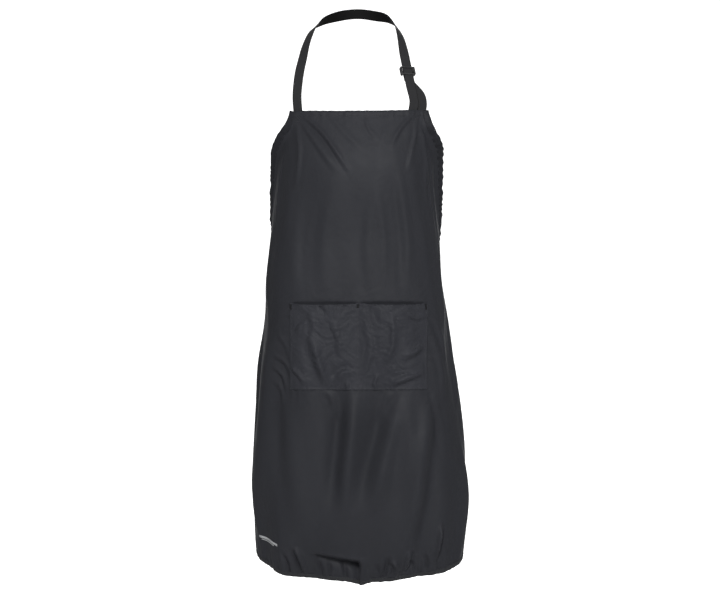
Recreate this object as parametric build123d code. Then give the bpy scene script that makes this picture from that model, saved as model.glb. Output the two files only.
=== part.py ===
from build123d import *
import os
from math import asin, cos, degrees, pi, radians, sin

# A bib apron in its worn shape, with its neck webbing and its tied waist webbing. Millimetres.
# +Z is up and the front faces -Y. The origin is on the inside face of the neck webbing, at the
# middle of the wearer's nape, so the whole apron hangs below it.

# Cloth and layers
CLOTH = 1.0              # body cloth, taken thicker than real nylon so that it is a sound solid
FOLDED_CLOTH = 0.7       # a folded hem, casing or binding layer
LAYER_GAP = 0.3          # air between layers that are sewn to each other
THREAD = 0.4             # thickness of a line of stitching
THREAD_WIDTH = 0.9
THREAD_GAP = 0.2         # air under a line of stitching
ELASTIC = 1.2

# Body of the apron
TORSO_Y = -58.0          # the wearer's middle, in front of the nape
TOP_Z = -212.0           # top edge of the bib
HEM_Z = -1116.0          # lowest point of the hem, at the middle of the front
FRONT_SQUARENESS = 0.35  # how much flatter than an ellipse the front is
TOP_HEM = 11.0           # depth of the turned top edge

# Webbing and slider
WEBBING = 1.0
WEBBING_WIDTH = 20.0
RUN_LOW = Vector(99.0, -122.0, -165.0)    # the straight run of webbing that the slider rides on
RUN_HIGH = Vector(86.5, -90.0, -95.0)
RUN_FACING = Vector(0.296, -0.848, 0.440)
SLIDER_WIDTH = 30.0
SLIDER_HEIGHT = 18.0
SLIDER_BAR = 2.8         # height of each end bar, along the webbing
SLIDER_RAIL = 3.4        # width of each side rail
CENTRE_BAR = 3.0
# Depths in the slider, from the middle of the running webbing towards the wearer
SLIDER_FRONT = -2.9
END_BAR_BACK = -0.8
CENTRE_BAR_FRONT = 2.0
SLIDER_BACK = 4.0

# Pocket
POCKET_LEFT = -134.0
POCKET_DIVIDER = -3.0
POCKET_RIGHT = 129.0
POCKET_TOP = -581.0
POCKET_BOTTOM = -746.0
POCKET_FULLNESS = 14.0   # how far each half can stand off the body when something is in it
POCKET_HEM = 14.0
SEAM_LIFT = CLOTH + LAYER_GAP    # between the middles of two layers of body cloth

# Casings, binding and waist webbing
CASING_TOP = -216.0
WAIST_CORNER = -487.0
WAIST_Z = -499.0
TIE_ANGLES = (103.0, 173.5)      # from the sewn end to the bow, degrees round from the front
KNOT_SIZE = (30.0, 13.0, 25.0)

# The cloth's right-hand edge, from the bib's corner to the middle of the hem: degrees round
# from the front, and height
EDGE = [(51.5, -212), (57, -239), (69, -267), (77, -286), (84, -306), (90, -340), (95, -400),
        (101, -450), (108, -478), (114, -497), (117.5, -530), (119, -620), (119, -720),
        (119, -820), (118.5, -900), (116.5, -950), (111.5, -995), (103, -1032), (90, -1062),
        (76, -1080), (61, -1093), (46, -1103), (31, -1109), (15, -1113.5), (0, HEM_Z)]

os.makedirs("parts", exist_ok=True)


# Curves and sheets

def smooth_curve(*stations):
    """A smooth function through (place, value) stations that never overshoots them."""
    stations = sorted(stations)
    places = [place for place, _ in stations]
    values = [value for _, value in stations]
    last = len(places) - 1
    slopes = [(values[i + 1] - values[i]) / (places[i + 1] - places[i]) for i in range(last)]
    tangents = [slopes[0]]
    for before, after in zip(slopes, slopes[1:]):
        tangents.append(2 * before * after / (before + after) if before * after > 0 else 0.0)
    tangents.append(slopes[-1])

    def value_at(place):
        place = min(max(place, places[0]), places[-1])
        i = max(index for index in range(last) if places[index] <= place)
        span = places[i + 1] - places[i]
        s = (place - places[i]) / span
        start = values[i] * (1 + 2 * s) * (1 - s) ** 2 + tangents[i] * span * s * (1 - s) ** 2
        end = values[i + 1] * s * s * (3 - 2 * s) - tangents[i + 1] * span * s * s * (1 - s)
        return start + end

    return value_at


def shares(count):
    """Evenly spaced values from 0 to 1."""
    return [index / (count - 1) for index in range(count)]


def spline_through(points, per_span):
    """Evenly divided points on a smooth curve through the given ones."""
    padded = [points[0] * 2 - points[1], *points, points[-1] * 2 - points[-2]]
    line = []
    for before, start, end, after in zip(padded, padded[1:], padded[2:], padded[3:]):
        for step in range(per_span):
            s = step / per_span
            bend = before * -1 + start * 3 - end * 3 + after
            swing = before * 2 - start * 5 + end * 4 - after
            line.append((start * 2 + (end - before) * s + swing * s ** 2 + bend * s ** 3) * 0.5)
    return line + [points[-1]]


def smooth_section(outer, inner):
    """A thin closed outline whose two long sides are smooth curves."""
    return Wire([Edge.make_spline(outer), Edge.make_line(outer[-1], inner[-1]),
                 Edge.make_spline(inner[::-1]), Edge.make_line(inner[0], outer[0])])


def cloth_patch(middle_at, down_count, across_count, thickness):
    """A smooth sheet from middle_at(down, across, lift), whose shares run from 0 to 1."""
    sections = []
    for down in shares(down_count):
        sides = [[middle_at(down, across, side * thickness / 2) for across in shares(across_count)]
                 for side in (1, -1)]
        sections.append(smooth_section(*sides))
    return Solid.make_loft(sections, True)


def strip(sections):
    """A solid through closed outlines with straight sides, each given as its corners in turn."""
    return Solid.make_loft([Wire.make_polygon(corners, close=True) for corners in sections], True)


def ribbon(route, facings, width=WEBBING_WIDTH, thickness=WEBBING, per_span=4):
    """A flat strip along a route; each facing is the way that its outer side looks there."""
    middle = spline_through(route, per_span)
    looks = spline_through(facings, per_span)
    sections = []
    for i, centre in enumerate(middle):
        along = (middle[min(i + 1, len(middle) - 1)] - middle[max(i - 1, 0)]).normalized()
        side = looks[i].cross(along).normalized()
        out = along.cross(side) * (thickness / 2)
        edge = side * (width / 2)
        sections.append([centre + edge + out, centre - edge + out,
                         centre - edge - out, centre + edge - out])
    return strip(sections)


def save(name, *solids):
    export_step(solids[0] if len(solids) == 1 else Compound(children=list(solids)),
                f"parts/{name}.step")


# The worn form, by height
half_width = smooth_curve((-1130, 194), (-1060, 204), (-950, 209), (-770, 198), (-615, 180),
                          (-520, 172), (-460, 169), (-380, 167), (-300, 166), (-250, 162),
                          (-195, 160))
centre_x = smooth_curve((-1130, 1), (-970, 0), (-890, -4), (-772, -5), (-693, -8), (-614, -7),
                        (-536, -11), (-457, -8), (-378, -6), (-300, -4), (-195, 0))
front_depth = smooth_curve((-1130, 104), (-1060, 112), (-950, 118), (-770, 120), (-615, 118),
                           (-470, 115), (-330, 125), (-195, 98))


def worn_surface(angle, z):
    """A point on the middle of the worn cloth, angle degrees round the torso from its front."""
    turn = radians(angle)
    depth = front_depth(z) * cos(turn) * (1 + FRONT_SQUARENESS * sin(turn) ** 2)
    return Vector(centre_x(z) + half_width(z) * sin(turn), TORSO_Y - depth, z)


def outward(angle, z):
    """The level direction that points out of the worn cloth."""
    across = worn_surface(angle + 0.5, z) - worn_surface(angle - 0.5, z)
    return Vector(across.Y, -across.X, 0).normalized()


def square_to_cloth(angle, z):
    """The direction that points straight out of the worn cloth, whatever its slope."""
    across = worn_surface(angle + 0.5, z) - worn_surface(angle - 0.5, z)
    down = worn_surface(angle, z - 1) - worn_surface(angle, z + 1)
    return down.cross(across).normalized()


def worn_point(angle, z, lift=0.0):
    """A point lift millimetres outside the middle of the worn cloth."""
    return worn_surface(angle, z) + outward(angle, z) * lift


def angle_at(x, z):
    """The angle at which the front of the apron has this x."""
    return degrees(asin((x - centre_x(z)) / half_width(z)))


def edge_places(high, low=HEM_Z):
    """Places along the cloth's right-hand edge, from one height down to another."""
    dense = spline_through([Vector(angle, z, 0) for angle, z in EDGE], 2)
    return [(place.X, place.Y) for place in dense if low <= place.Y <= high]


# Body of the apron

def make_main_panel():
    """The wrapped cloth, as level sections that reach from one edge to the other."""
    narrowest = 2.5
    sections = []
    for edge_angle, z in edge_places(TOP_Z):
        if edge_angle > narrowest:
            angles = [edge_angle * (2 * across - 1) for across in shares(21)]
            sides = [[worn_point(angle, z, side * CLOTH / 2) for angle in angles]
                     for side in (1, -1)]
            sections.append(smooth_section(*sides))
    save("main_panel", Solid.make_loft(sections, True))


def top_edge_patch(top, depth, lift, thickness):
    """A strip along the inside or the outside of the bib's top edge."""
    margin = 3.0

    def middle_at(down, across, extra):
        z = TOP_Z - top - depth * down
        return worn_point((2 * across - 1) * (EDGE[0][0] - margin), z, lift + extra)

    return cloth_patch(middle_at, 3, 21, thickness)


def make_top_hem():
    inside = -(CLOTH / 2 + LAYER_GAP + FOLDED_CLOTH / 2)
    save("top_hem", top_edge_patch(0.3, TOP_HEM, inside, FOLDED_CLOTH))
    outside = CLOTH / 2 + THREAD_GAP + THREAD / 2
    save("top_hem_stitching", top_edge_patch(TOP_HEM - 2, THREAD_WIDTH, outside, THREAD))


# A fold that closes an edge is a U in section: (distance outboard of the cloth's edge, height)
CASING_SECTION = [(-6, 1.2), (-3, 1.3), (0, 1.8), (3, 2.3), (6, 2.2), (8.3, 1.3), (9.0, 0),
                  (8.3, -1.3), (6, -2.2), (3, -2.3), (0, -1.8), (-3, -1.3), (-6, -1.2)]
BINDING_SECTION = [(-7, 1.2), (-4, 1.2), (-1, 1.2), (0.8, 1.1), (1.8, 0.7), (2.2, 0),
                   (1.8, -0.7), (0.8, -1.1), (-1, -1.2), (-4, -1.2), (-7, -1.2)]


def edge_frames(places):
    """For each (angle, z): the point, the outboard way along the cloth, and the way out of it."""
    points = [worn_surface(angle, z) for angle, z in places]
    frames = []
    for i, (angle, z) in enumerate(places):
        along = (points[min(i + 1, len(points) - 1)] - points[max(i - 1, 0)]).normalized()
        out = square_to_cloth(angle, z)
        frames.append((points[i], out.cross(along).normalized(), out))
    return frames


def offset_section(section, distance):
    """The same open section, moved sideways: positive is to its outside."""
    moved = []
    for i, (s, n) in enumerate(section):
        before = section[max(i - 1, 0)]
        after = section[min(i + 1, len(section) - 1)]
        run = Vector(after[0] - before[0], after[1] - before[1]).normalized()
        moved.append((s - run.Y * distance, n + run.X * distance))
    return moved


def edge_fold(frames, section, thickness):
    corners = (offset_section(section, thickness / 2)
               + offset_section(section, -thickness / 2)[::-1])
    return strip([[point + outboard * s + out * n for s, n in corners]
                  for point, outboard, out in frames])


def edge_line(frames, inboard, height, width, thickness):
    """A narrow strip that follows the edge, on the outside of what closes it."""
    corners = [(s - inboard, height + n) for s, n in
               ((-width / 2, thickness / 2), (width / 2, thickness / 2),
                (width / 2, -thickness / 2), (-width / 2, -thickness / 2))]
    return strip([[point + outboard * s + out * n for s, n in corners]
                  for point, outboard, out in frames])


STITCH_HEIGHT = 1.2 + FOLDED_CLOTH / 2 + THREAD_GAP + THREAD


def make_armholes():
    """Each armhole's casing, the elastic inside it that gathers it, and its stitching."""
    right_places = edge_places(CASING_TOP, WAIST_CORNER)
    left_places = [(-angle, z) for angle, z in reversed(right_places)]
    stitching = []
    for name, places in (("left", left_places), ("right", right_places)):
        frames = edge_frames(places)
        save(f"armhole_casing_{name}", edge_fold(frames, CASING_SECTION, FOLDED_CLOTH))
        save(f"armhole_elastic_{name}", edge_line(frames, -4.4, 0, 5.2, ELASTIC))
        stitching.append(edge_line(frames, 4.4, STITCH_HEIGHT, THREAD_WIDTH, THREAD))
    save("casing_stitching", *stitching)


def make_skirt_binding():
    """The binding round the skirt, from one waist corner along the hem to the other."""
    right = edge_places(WAIST_CORNER - 2)
    left = [(-angle, z) for angle, z in reversed(right[:-1])]
    frames = edge_frames(right + left)
    save("skirt_binding", edge_fold(frames, BINDING_SECTION, FOLDED_CLOTH))
    save("binding_stitching", edge_line(frames, 5.4, STITCH_HEIGHT, THREAD_WIDTH, THREAD))


# Pocket

POCKET_HALVES = [(POCKET_LEFT, POCKET_DIVIDER), (POCKET_DIVIDER, POCKET_RIGHT)]


def pocket_lift(x, down):
    """How far the pocket's cloth stands outside the body cloth, middle to middle."""
    left, right = POCKET_HALVES[0] if x < POCKET_DIVIDER else POCKET_HALVES[1]
    share = (x - left) / (right - left)
    return SEAM_LIFT + POCKET_FULLNESS * (1 - cos(pi * share) ** 4) * (1 - down ** 4)


def on_pocket(x, z, lift):
    down = (POCKET_TOP - z) / (POCKET_TOP - POCKET_BOTTOM)
    return worn_point(angle_at(x, z), z, pocket_lift(x, down) + lift)


def make_pocket():
    def middle_at(down, across, lift):
        x = POCKET_LEFT + (POCKET_RIGHT - POCKET_LEFT) * across
        z = POCKET_TOP + (POCKET_BOTTOM - POCKET_TOP) * down
        return on_pocket(x, z, lift)

    save("pocket_panel", cloth_patch(middle_at, 29, 33, CLOTH))


def make_pocket_hem():
    """The turned-in top edge of each half, which stops short of the seams."""
    seam_clearance = 12.0
    inside = -(CLOTH / 2 + LAYER_GAP + FOLDED_CLOTH / 2)
    hems = []
    for left, right in POCKET_HALVES:
        def middle_at(down, across, lift):
            start = left + seam_clearance
            x = start + (right - seam_clearance - start) * across
            return on_pocket(x, POCKET_TOP - 0.5 - POCKET_HEM * down, inside + lift)

        hems.append(cloth_patch(middle_at, 3, 17, FOLDED_CLOTH))
    save("pocket_hem", *hems)


def pocket_strip(start, end, width, thickness, points=17):
    """A strip on the pocket's outside from one (x, z) to another."""
    height = CLOTH / 2 + 2 * THREAD_GAP + thickness / 2
    places = [(start[0] + (end[0] - start[0]) * share, start[1] + (end[1] - start[1]) * share)
              for share in shares(points)]
    route = [on_pocket(x, z, height) for x, z in places]
    facings = [outward(angle_at(x, z), z) for x, z in places]
    return ribbon(route, facings, width, thickness, 1)


def make_pocket_stitching():
    inset = 2.5
    gap = 2.0
    left = POCKET_LEFT + inset
    right = POCKET_RIGHT - inset
    low = POCKET_BOTTOM + inset
    high = POCKET_TOP - 12.0
    hem_line = POCKET_TOP - POCKET_HEM + 1.5
    below_hem = hem_line - gap
    lines = [
        ((left, high), (left, low + gap)),
        ((POCKET_DIVIDER, below_hem), (POCKET_DIVIDER, low + gap)),
        ((right, high), (right, low + gap)),
        ((left, low), (right, low)),
        ((left + gap, hem_line), (POCKET_DIVIDER - gap, hem_line)),
        ((POCKET_DIVIDER + gap, hem_line), (right - gap, hem_line)),
    ]
    save("pocket_stitching", *[pocket_strip(start, end, THREAD_WIDTH, THREAD)
                               for start, end in lines])


def make_bar_tacks():
    """Dense stitches that stop the pocket's mouth from tearing away at its three seams."""
    length = 9.0
    height = 2.4
    z = POCKET_TOP - 3.0
    starts = (POCKET_LEFT + 1, POCKET_DIVIDER - length / 2, POCKET_RIGHT - 1 - length)
    save("bar_tacks", *[pocket_strip((x, z), (x + length, z), height, THREAD * 1.5, 5)
                        for x in starts])


# Neck webbing

FLATNESS = 1.35          # the cloth curves round the corner and flat webbing behind it does not
BEHIND_HEM = -(CLOTH / 2 + LAYER_GAP + FOLDED_CLOTH + LAYER_GAP + WEBBING / 2 + FLATNESS)
NECK_LEFT_X = -114.0
NECK_RIGHT_X = 97.5
RETURN_X = 118.5
SEWN_HEIGHTS = (-214.0, -224.0, -235.0)


def sewn_end(x):
    """Points and facings of webbing that lies behind the top hem at x, from the top down."""
    angles = [(angle_at(x, z), z) for z in SEWN_HEIGHTS]
    return ([worn_point(angle, z, BEHIND_HEM) for angle, z in angles],
            [outward(angle, z) for angle, z in angles])


def make_neck_strap():
    """The webbing from the bib's left corner, round the nape and down its right-hand run."""
    left_points, left_facings = sewn_end(NECK_LEFT_X)
    right_points, right_facings = sewn_end(NECK_RIGHT_X)
    run = [RUN_HIGH + (RUN_LOW - RUN_HIGH) * share for share in shares(8)]
    worn = [
        (Vector(-117.5, -130, -180), Vector(-0.45, -0.88, 0.1)),
        (Vector(-116, -118, -139), Vector(-0.38, -0.9, 0.2)),
        (Vector(-110.5, -104, -105), Vector(-0.42, -0.8, 0.35)),
        (Vector(-103, -88, -76), Vector(-0.52, -0.55, 0.6)),
        (Vector(-89, -58, -42), Vector(-0.64, 0, 0.77)),
        (Vector(-61, -28, -16), Vector(-0.42, 0.62, 0.5)),
        (Vector(-31, -7, -3.5), Vector(-0.18, 0.96, 0.15)),
        (Vector(0, WEBBING / 2, 0), Vector(0, 1, 0.05)),
        (Vector(30, -3, -4.5), Vector(0.2, 0.95, 0.2)),
        (Vector(51, -14, -13), Vector(0.5, 0.55, 0.6)),
        (Vector(66, -34, -30), Vector(0.72, 0, 0.68)),
        (Vector(77, -60, -55), Vector(0.62, -0.5, 0.58)),
    ]
    approach = (Vector(101, -134, -192), Vector(0.42, -0.86, 0.25))
    route = left_points[::-1] + [point for point, _ in worn] + run + [approach[0]] + right_points
    facings = (left_facings[::-1] + [facing for _, facing in worn] + [RUN_FACING] * len(run)
               + [approach[1]] + right_facings)
    save("neck_strap", ribbon(route, facings))


# Slider, in a frame of its own: side, up the webbing, and depth towards the wearer

RUN_UP = (RUN_HIGH - RUN_LOW).normalized()
TOWARDS_WEARER = (RUN_UP.cross(RUN_FACING.cross(RUN_UP))).normalized() * -1
RUN_SIDE = RUN_UP.cross(TOWARDS_WEARER)
SLIDER_PLANE = Plane(origin=(RUN_HIGH + RUN_LOW) * 0.5, x_dir=RUN_SIDE, z_dir=TOWARDS_WEARER)


def slider_block(width, height, front, back, at_side=0.0):
    block = Box(width, height, back - front, align=(Align.CENTER, Align.CENTER, Align.MIN))
    return Pos(at_side, 0, front) * block


def slider_point(side, up, depth):
    return SLIDER_PLANE.from_local_coords(Vector(side, up, depth))


def make_slider_frame():
    """A three-bar slide: two end bars in front of the running webbing, a centre bar behind it."""
    corner = 2.0
    edge = 0.5
    window = (SLIDER_WIDTH - 2 * SLIDER_RAIL, SLIDER_HEIGHT - 2 * SLIDER_BAR)
    face = RectangleRounded(SLIDER_WIDTH, SLIDER_HEIGHT, corner)
    body = Pos(0, 0, SLIDER_FRONT) * extrude(face, SLIDER_BACK - SLIDER_FRONT)
    channel = slider_block(window[0], SLIDER_HEIGHT + 2, END_BAR_BACK, SLIDER_BACK + 1)
    opening = slider_block(*window, SLIDER_FRONT - 1, SLIDER_BACK + 1)
    frame = body - channel - opening
    outline = frame.faces().sort_by(Axis.Z)[0].outer_wire().edges()
    frame = fillet(outline, edge)
    centre = slider_block(window[0] + 2, CENTRE_BAR, CENTRE_BAR_FRONT, SLIDER_BACK)
    centre = fillet(centre.edges().filter_by(Axis.X), edge)
    save("slider_frame", (SLIDER_PLANE * (frame + centre)).solids()[0])


END_LOOP_TAIL = -22.0
END_LOOP_FRONT = 1.25    # depth of the fold's front layer, and of its tail further down
END_LOOP_SEWN = END_LOOP_FRONT + WEBBING + THREAD_GAP


def make_strap_end_loop():
    """The webbing's end, folded over the centre bar and sewn back to itself below it."""
    radius = 1.75
    bend_up = 0.9
    back = END_LOOP_FRONT + 2 * radius
    bend = [(bend_up + radius * sin(pi * share), END_LOOP_FRONT + radius * (1 - cos(pi * share)))
            for share in shares(9)]
    line = [(-14.0, END_LOOP_FRONT), (-7.0, END_LOOP_FRONT), *bend, (-2.0, back),
            (-5.0, back - 0.5), (-8.0, END_LOOP_SEWN + 0.8), (-11.0, END_LOOP_SEWN + 0.1),
            (-14.0, END_LOOP_SEWN), (-18.0, END_LOOP_SEWN), (END_LOOP_TAIL, END_LOOP_SEWN + 0.2)]
    outline = offset_section(line, WEBBING / 2) + offset_section(line, -WEBBING / 2)[::-1]
    sides = [[slider_point(side * WEBBING_WIDTH / 2, up, depth) for up, depth in outline]
             for side in (-1, 1)]
    save("strap_end_loop", strip(sides))
    thread_at = END_LOOP_SEWN + WEBBING / 2 + 2 * THREAD_GAP
    thread = slider_block(14, THREAD_WIDTH, thread_at, thread_at + THREAD)
    rows = [SLIDER_PLANE * Pos(0, up, 0) * thread for up in (-13.0, -16.5)]
    save("end_loop_stitching", *[row.solids()[0] for row in rows])


def make_strap_return():
    """The webbing's way back, from the slider's end loop down to the bib's right corner."""
    start = slider_point(0, END_LOOP_TAIL - 1.4, END_LOOP_SEWN + 0.4)
    low_points, low_facings = sewn_end(RETURN_X)
    route = [start, start + Vector(1.4, -2.2, -6.0), Vector(109.5, -113, -178),
             Vector(117, -121, -196)] + low_points
    facings = [RUN_FACING, RUN_FACING, Vector(0.42, -0.82, 0.38), Vector(0.58, -0.78, 0.2)]
    save("strap_return", ribbon(route, facings + low_facings))


def make_keeper():
    """A patch behind the bib's right corner, in which the webbing turns back up."""
    inside = BEHIND_HEM - WEBBING / 2 - LAYER_GAP - CLOTH / 2
    high = -222.0
    low = -241.0

    def middle_at(down, across, lift):
        z = high + (low - high) * down
        left = NECK_RIGHT_X - 13.0
        right = worn_surface(EDGE[0][0] - 3.0, z).X
        return worn_point(angle_at(left + (right - left) * across, z), z, inside + lift)

    save("webbing_keeper", cloth_patch(middle_at, 4, 9, CLOTH))


def box_stitches(name, angle_of, heights, lift):
    """Rows of stitching across webbing on the outside of the body cloth."""
    strips = []
    for z in heights:
        left, right = angle_of(z)

        def middle_at(down, across, extra):
            height = z + THREAD_WIDTH * (0.5 - down)
            return worn_point(left + (right - left) * across, height, lift + extra)

        strips.append(cloth_patch(middle_at, 2, 7, THREAD))
    save(name, *strips)


def make_strap_stitching():
    lift = CLOTH / 2 + THREAD_GAP + THREAD / 2
    half = WEBBING_WIDTH / 2 - 2
    for name, x in (("left", NECK_LEFT_X), ("right", NECK_RIGHT_X)):
        def angle_of(z, x=x):
            return angle_at(x - half, z), angle_at(x + half, z)

        box_stitches(f"strap_stitching_{name}", angle_of, (-215.5, -218.5, -229.0, -232.0), lift)


# Waist webbing, tied at the back

BEHIND_CLOTH = BEHIND_HEM + FLATNESS / 2


def make_waist_ties():
    start, end = TIE_ANGLES
    droop = 3.0
    lift = CLOTH / 2 + THREAD_GAP + THREAD / 2
    for name, side in (("left", -1), ("right", 1)):
        angles = [start + (end - start) * share for share in shares(20)]
        heights = [WAIST_Z - droop * share ** 2 for share in shares(20)]
        places = [(side * angle, z) for angle, z in zip(angles, heights)]
        route = [worn_point(angle, z, BEHIND_CLOTH) for angle, z in places]
        facings = [outward(angle, z) for angle, z in places]
        save(f"waist_tie_{name}", ribbon(route, facings, per_span=2))

        def angle_of(z, side=side):
            return side * (start + 1), side * (start + 5)

        heights = (WAIST_Z + 8, WAIST_Z + 4, WAIST_Z - 4, WAIST_Z - 8)
        box_stitches(f"tie_stitching_{name}", angle_of, heights, lift)


def make_waist_bow():
    """The knot at the small of the back, with its two loops and two ends, as one solid."""
    back = worn_surface(180, WAIST_Z)
    knot_at = back + Vector(0, KNOT_SIZE[1] / 2 - 1.0, -4.0)
    knot = fillet(Box(*KNOT_SIZE).edges(), 5)
    bow = Location(knot_at) * knot
    for side, droop, reach, length in ((-1, 20.0, 92.0, 175.0), (1, 26.0, 86.0, 195.0)):
        loop = [(6, 2, 0), (22, 6, -0.04), (45, 9, -0.2), (70, 10, -0.55), (reach, 6, -0.9),
                (reach + 5, 0, -1.0), (reach - 2, -4.5, -0.9), (68, -4.5, -0.6), (42, -4, -0.25),
                (20, -2.5, -0.05), (6, -1, 0)]
        route = [knot_at + Vector(side * x, y, droop * drop) for x, y, drop in loop]
        outer = [Vector(-0.2, 1, 0), Vector(-0.2, 1, 0), Vector(-0.05, 1, 0), Vector(0, 1, 0),
                 Vector(0.4, 0.9, 0), Vector(1, 0, 0), Vector(0.4, -0.9, 0), Vector(0, -1, 0),
                 Vector(0, -1, 0), Vector(0.05, -1, 0), Vector(0.05, -1, 0)]
        facings = [Vector(side * look.X, look.Y, 0) for look in outer]
        bow += ribbon(route, facings)
        tail = [(4, 1, -6), (8, 2.5, -22), (12, 3, -50), (15, 2.5, -90), (18, 2, -140),
                (20, 2, -length)]
        route = [knot_at + Vector(side * x, y, z) for x, y, z in tail]
        bow += ribbon(route, [Vector(side * 0.15, 1, 0)] * len(tail))
    save("waist_bow", bow.solids()[0])


def make_print_mark():
    """A plain printed patch low on the wearer's right, with nothing written in it."""
    high = -1013.0
    low = -1026.0
    lift = CLOTH / 2 + 0.1 + 0.15

    def middle_at(down, across, extra):
        z = high + (low - high) * down
        return worn_point(angle_at(-193 + 34 * across, z), z, lift + extra)

    save("print_mark", cloth_patch(middle_at, 3, 5, 0.3))


make_main_panel()
make_top_hem()
make_armholes()
make_skirt_binding()
make_pocket()
make_pocket_hem()
make_pocket_stitching()
make_bar_tacks()
make_neck_strap()
make_slider_frame()
make_strap_end_loop()
make_strap_return()
make_keeper()
make_strap_stitching()
make_waist_ties()
make_waist_bow()
make_print_mark()
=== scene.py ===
import bpy
import numpy as np
from math import radians
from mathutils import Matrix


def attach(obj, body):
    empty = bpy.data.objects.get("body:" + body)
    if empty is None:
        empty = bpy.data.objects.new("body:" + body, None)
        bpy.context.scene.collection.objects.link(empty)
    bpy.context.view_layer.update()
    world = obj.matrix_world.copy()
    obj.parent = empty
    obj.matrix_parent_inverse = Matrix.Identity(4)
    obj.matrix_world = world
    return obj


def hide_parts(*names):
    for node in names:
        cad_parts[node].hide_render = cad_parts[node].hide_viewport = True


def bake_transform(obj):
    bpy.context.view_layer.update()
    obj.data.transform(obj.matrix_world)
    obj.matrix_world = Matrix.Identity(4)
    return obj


# An artist's bib apron in its worn shape. Lengths are in millimetres until a mesh is made, and
# angles are degrees round the torso from its front. +Z is up and the front faces -Y.

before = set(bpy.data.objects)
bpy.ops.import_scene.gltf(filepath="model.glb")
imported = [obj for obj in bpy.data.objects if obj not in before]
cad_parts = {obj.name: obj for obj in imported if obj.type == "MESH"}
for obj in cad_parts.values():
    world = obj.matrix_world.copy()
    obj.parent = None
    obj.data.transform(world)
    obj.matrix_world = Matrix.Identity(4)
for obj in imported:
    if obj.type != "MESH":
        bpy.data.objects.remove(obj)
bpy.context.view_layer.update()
MM = 0.001

# The worn form: the same driving dimensions as the CAD part

TORSO_Y = -58.0
HEM_Z = -1116.0
HEM_DROP = 1.2           # the finished hem lies this much lower
HEM_TIP = 5.4            # and the small point at its middle this much lower again
FRONT_SQUARENESS = 0.35
WEBBING_WIDTH = 20.0
CLOTH = 0.5              # thickness of the body cloth with its coating
FRONT_FACE = CLOTH / 2
THREAD_LIFT = 0.12       # how far a stitch's middle lies above the cloth


def smooth_curve(*stations):
    """A smooth vectorised function through (place, value) stations that never overshoots."""
    places, values = np.array(sorted(stations), dtype=float).T
    slopes = np.diff(values) / np.diff(places)
    both = slopes[:-1] * slopes[1:]
    total = slopes[:-1] + slopes[1:]
    inner = np.where(both > 0, 2 * both / np.where(both > 0, total, 1), 0)
    tangents = np.concatenate([slopes[:1], inner, slopes[-1:]])

    def value_at(place):
        place = np.clip(place, places[0], places[-1])
        i = np.clip(np.searchsorted(places, place, "right") - 1, 0, len(slopes) - 1)
        span = places[i + 1] - places[i]
        s = (place - places[i]) / span
        start = values[i] * (1 + 2 * s) * (1 - s) ** 2 + tangents[i] * span * s * (1 - s) ** 2
        end = values[i + 1] * s * s * (3 - 2 * s) - tangents[i + 1] * span * s * s * (1 - s)
        return start + end

    return value_at


# Half width of the cloth by height. Beside the armholes it folds back before the casing does.
SKIRT_WIDTH = [(-1130, 194), (-1060, 204), (-950, 209), (-770, 198), (-615, 180)]
left_width = smooth_curve(*SKIRT_WIDTH, (-520, 173), (-460, 169), (-400, 164), (-340, 159),
                          (-290, 157), (-250, 159), (-205, 164))
right_width = smooth_curve(*SKIRT_WIDTH, (-520, 171), (-460, 165), (-400, 157), (-340, 151),
                           (-290, 150), (-250, 156), (-205, 166))
centre_x = smooth_curve((-1130, 1), (-970, 0), (-890, -4), (-772, -5), (-693, -8), (-614, -7),
                        (-536, -11), (-457, -8), (-378, -6), (-300, -4), (-205, -2))
front_depth = smooth_curve((-1130, 104), (-1060, 112), (-950, 118), (-770, 120), (-615, 118),
                           (-470, 115), (-330, 125), (-205, 100))

# The cloth's right-hand edge, from the bib's corner to the middle of the hem, as (angle, z)
EDGE = [(50.5, -212), (56, -239), (68.5, -267), (77, -286), (84, -306), (90, -340), (95, -400),
        (101, -450), (108, -478), (114, -497), (117.5, -530), (119, -620), (119, -720),
        (119, -820), (118.5, -900), (116.5, -950), (111.5, -995), (103, -1032), (90, -1062),
        (76, -1080), (61, -1093), (46, -1103), (31, -1109), (15, -1113.5), (0, HEM_Z)]
WAIST_Z = -497
CORNER_Z = -1032         # where the side of the cloth becomes its hem
side_angle = smooth_curve(*[(z, angle) for angle, z in EDGE if z >= CORNER_Z])
hem_form = smooth_curve(*[(angle, z) for angle, z in EDGE if z <= CORNER_Z])


def hem_z(angle):
    """Height of the hem by angle, with the small point at its middle."""
    return hem_form(angle) - HEM_DROP - HEM_TIP * np.exp(-(angle / 4.5) ** 2)


def top_z(share):
    """Height of the bib's top edge, from -1 at its left corner to 1 at its right."""
    return -211.0 + 1.0 * share - 3.0 * (1 - share ** 2)


def worn_form(angle, z):
    """Points on the worn cloth before it creases."""
    turn = np.radians(angle)
    to_right = 0.5 + 0.5 * np.tanh(4 * np.sin(turn))
    width = left_width(z) * (1 - to_right) + right_width(z) * to_right
    depth = front_depth(z) * np.cos(turn) * (1 + FRONT_SQUARENESS * np.sin(turn) ** 2)
    return np.stack([centre_x(z) + width * np.sin(turn), TORSO_Y - depth, z + 0 * turn], -1)


def angle_at(x, z):
    """The angle at which the front of the cloth has this x."""
    offset = x - centre_x(z)
    width = np.where(offset > 0, right_width(z), left_width(z))
    return np.degrees(np.arcsin(np.clip(offset / width, -0.999, 0.999)))


# Small vector tools

def unit(vectors):
    return vectors / np.maximum(np.linalg.norm(vectors, axis=-1, keepdims=True), 1e-9)


def level_facing(angle, z):
    """The level way straight out of the worn form."""
    across = worn_form(angle + 0.5, z) - worn_form(angle - 0.5, z)
    return unit(np.stack([across[:, 1], -across[:, 0], 0 * across[:, 0]], -1))


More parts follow.
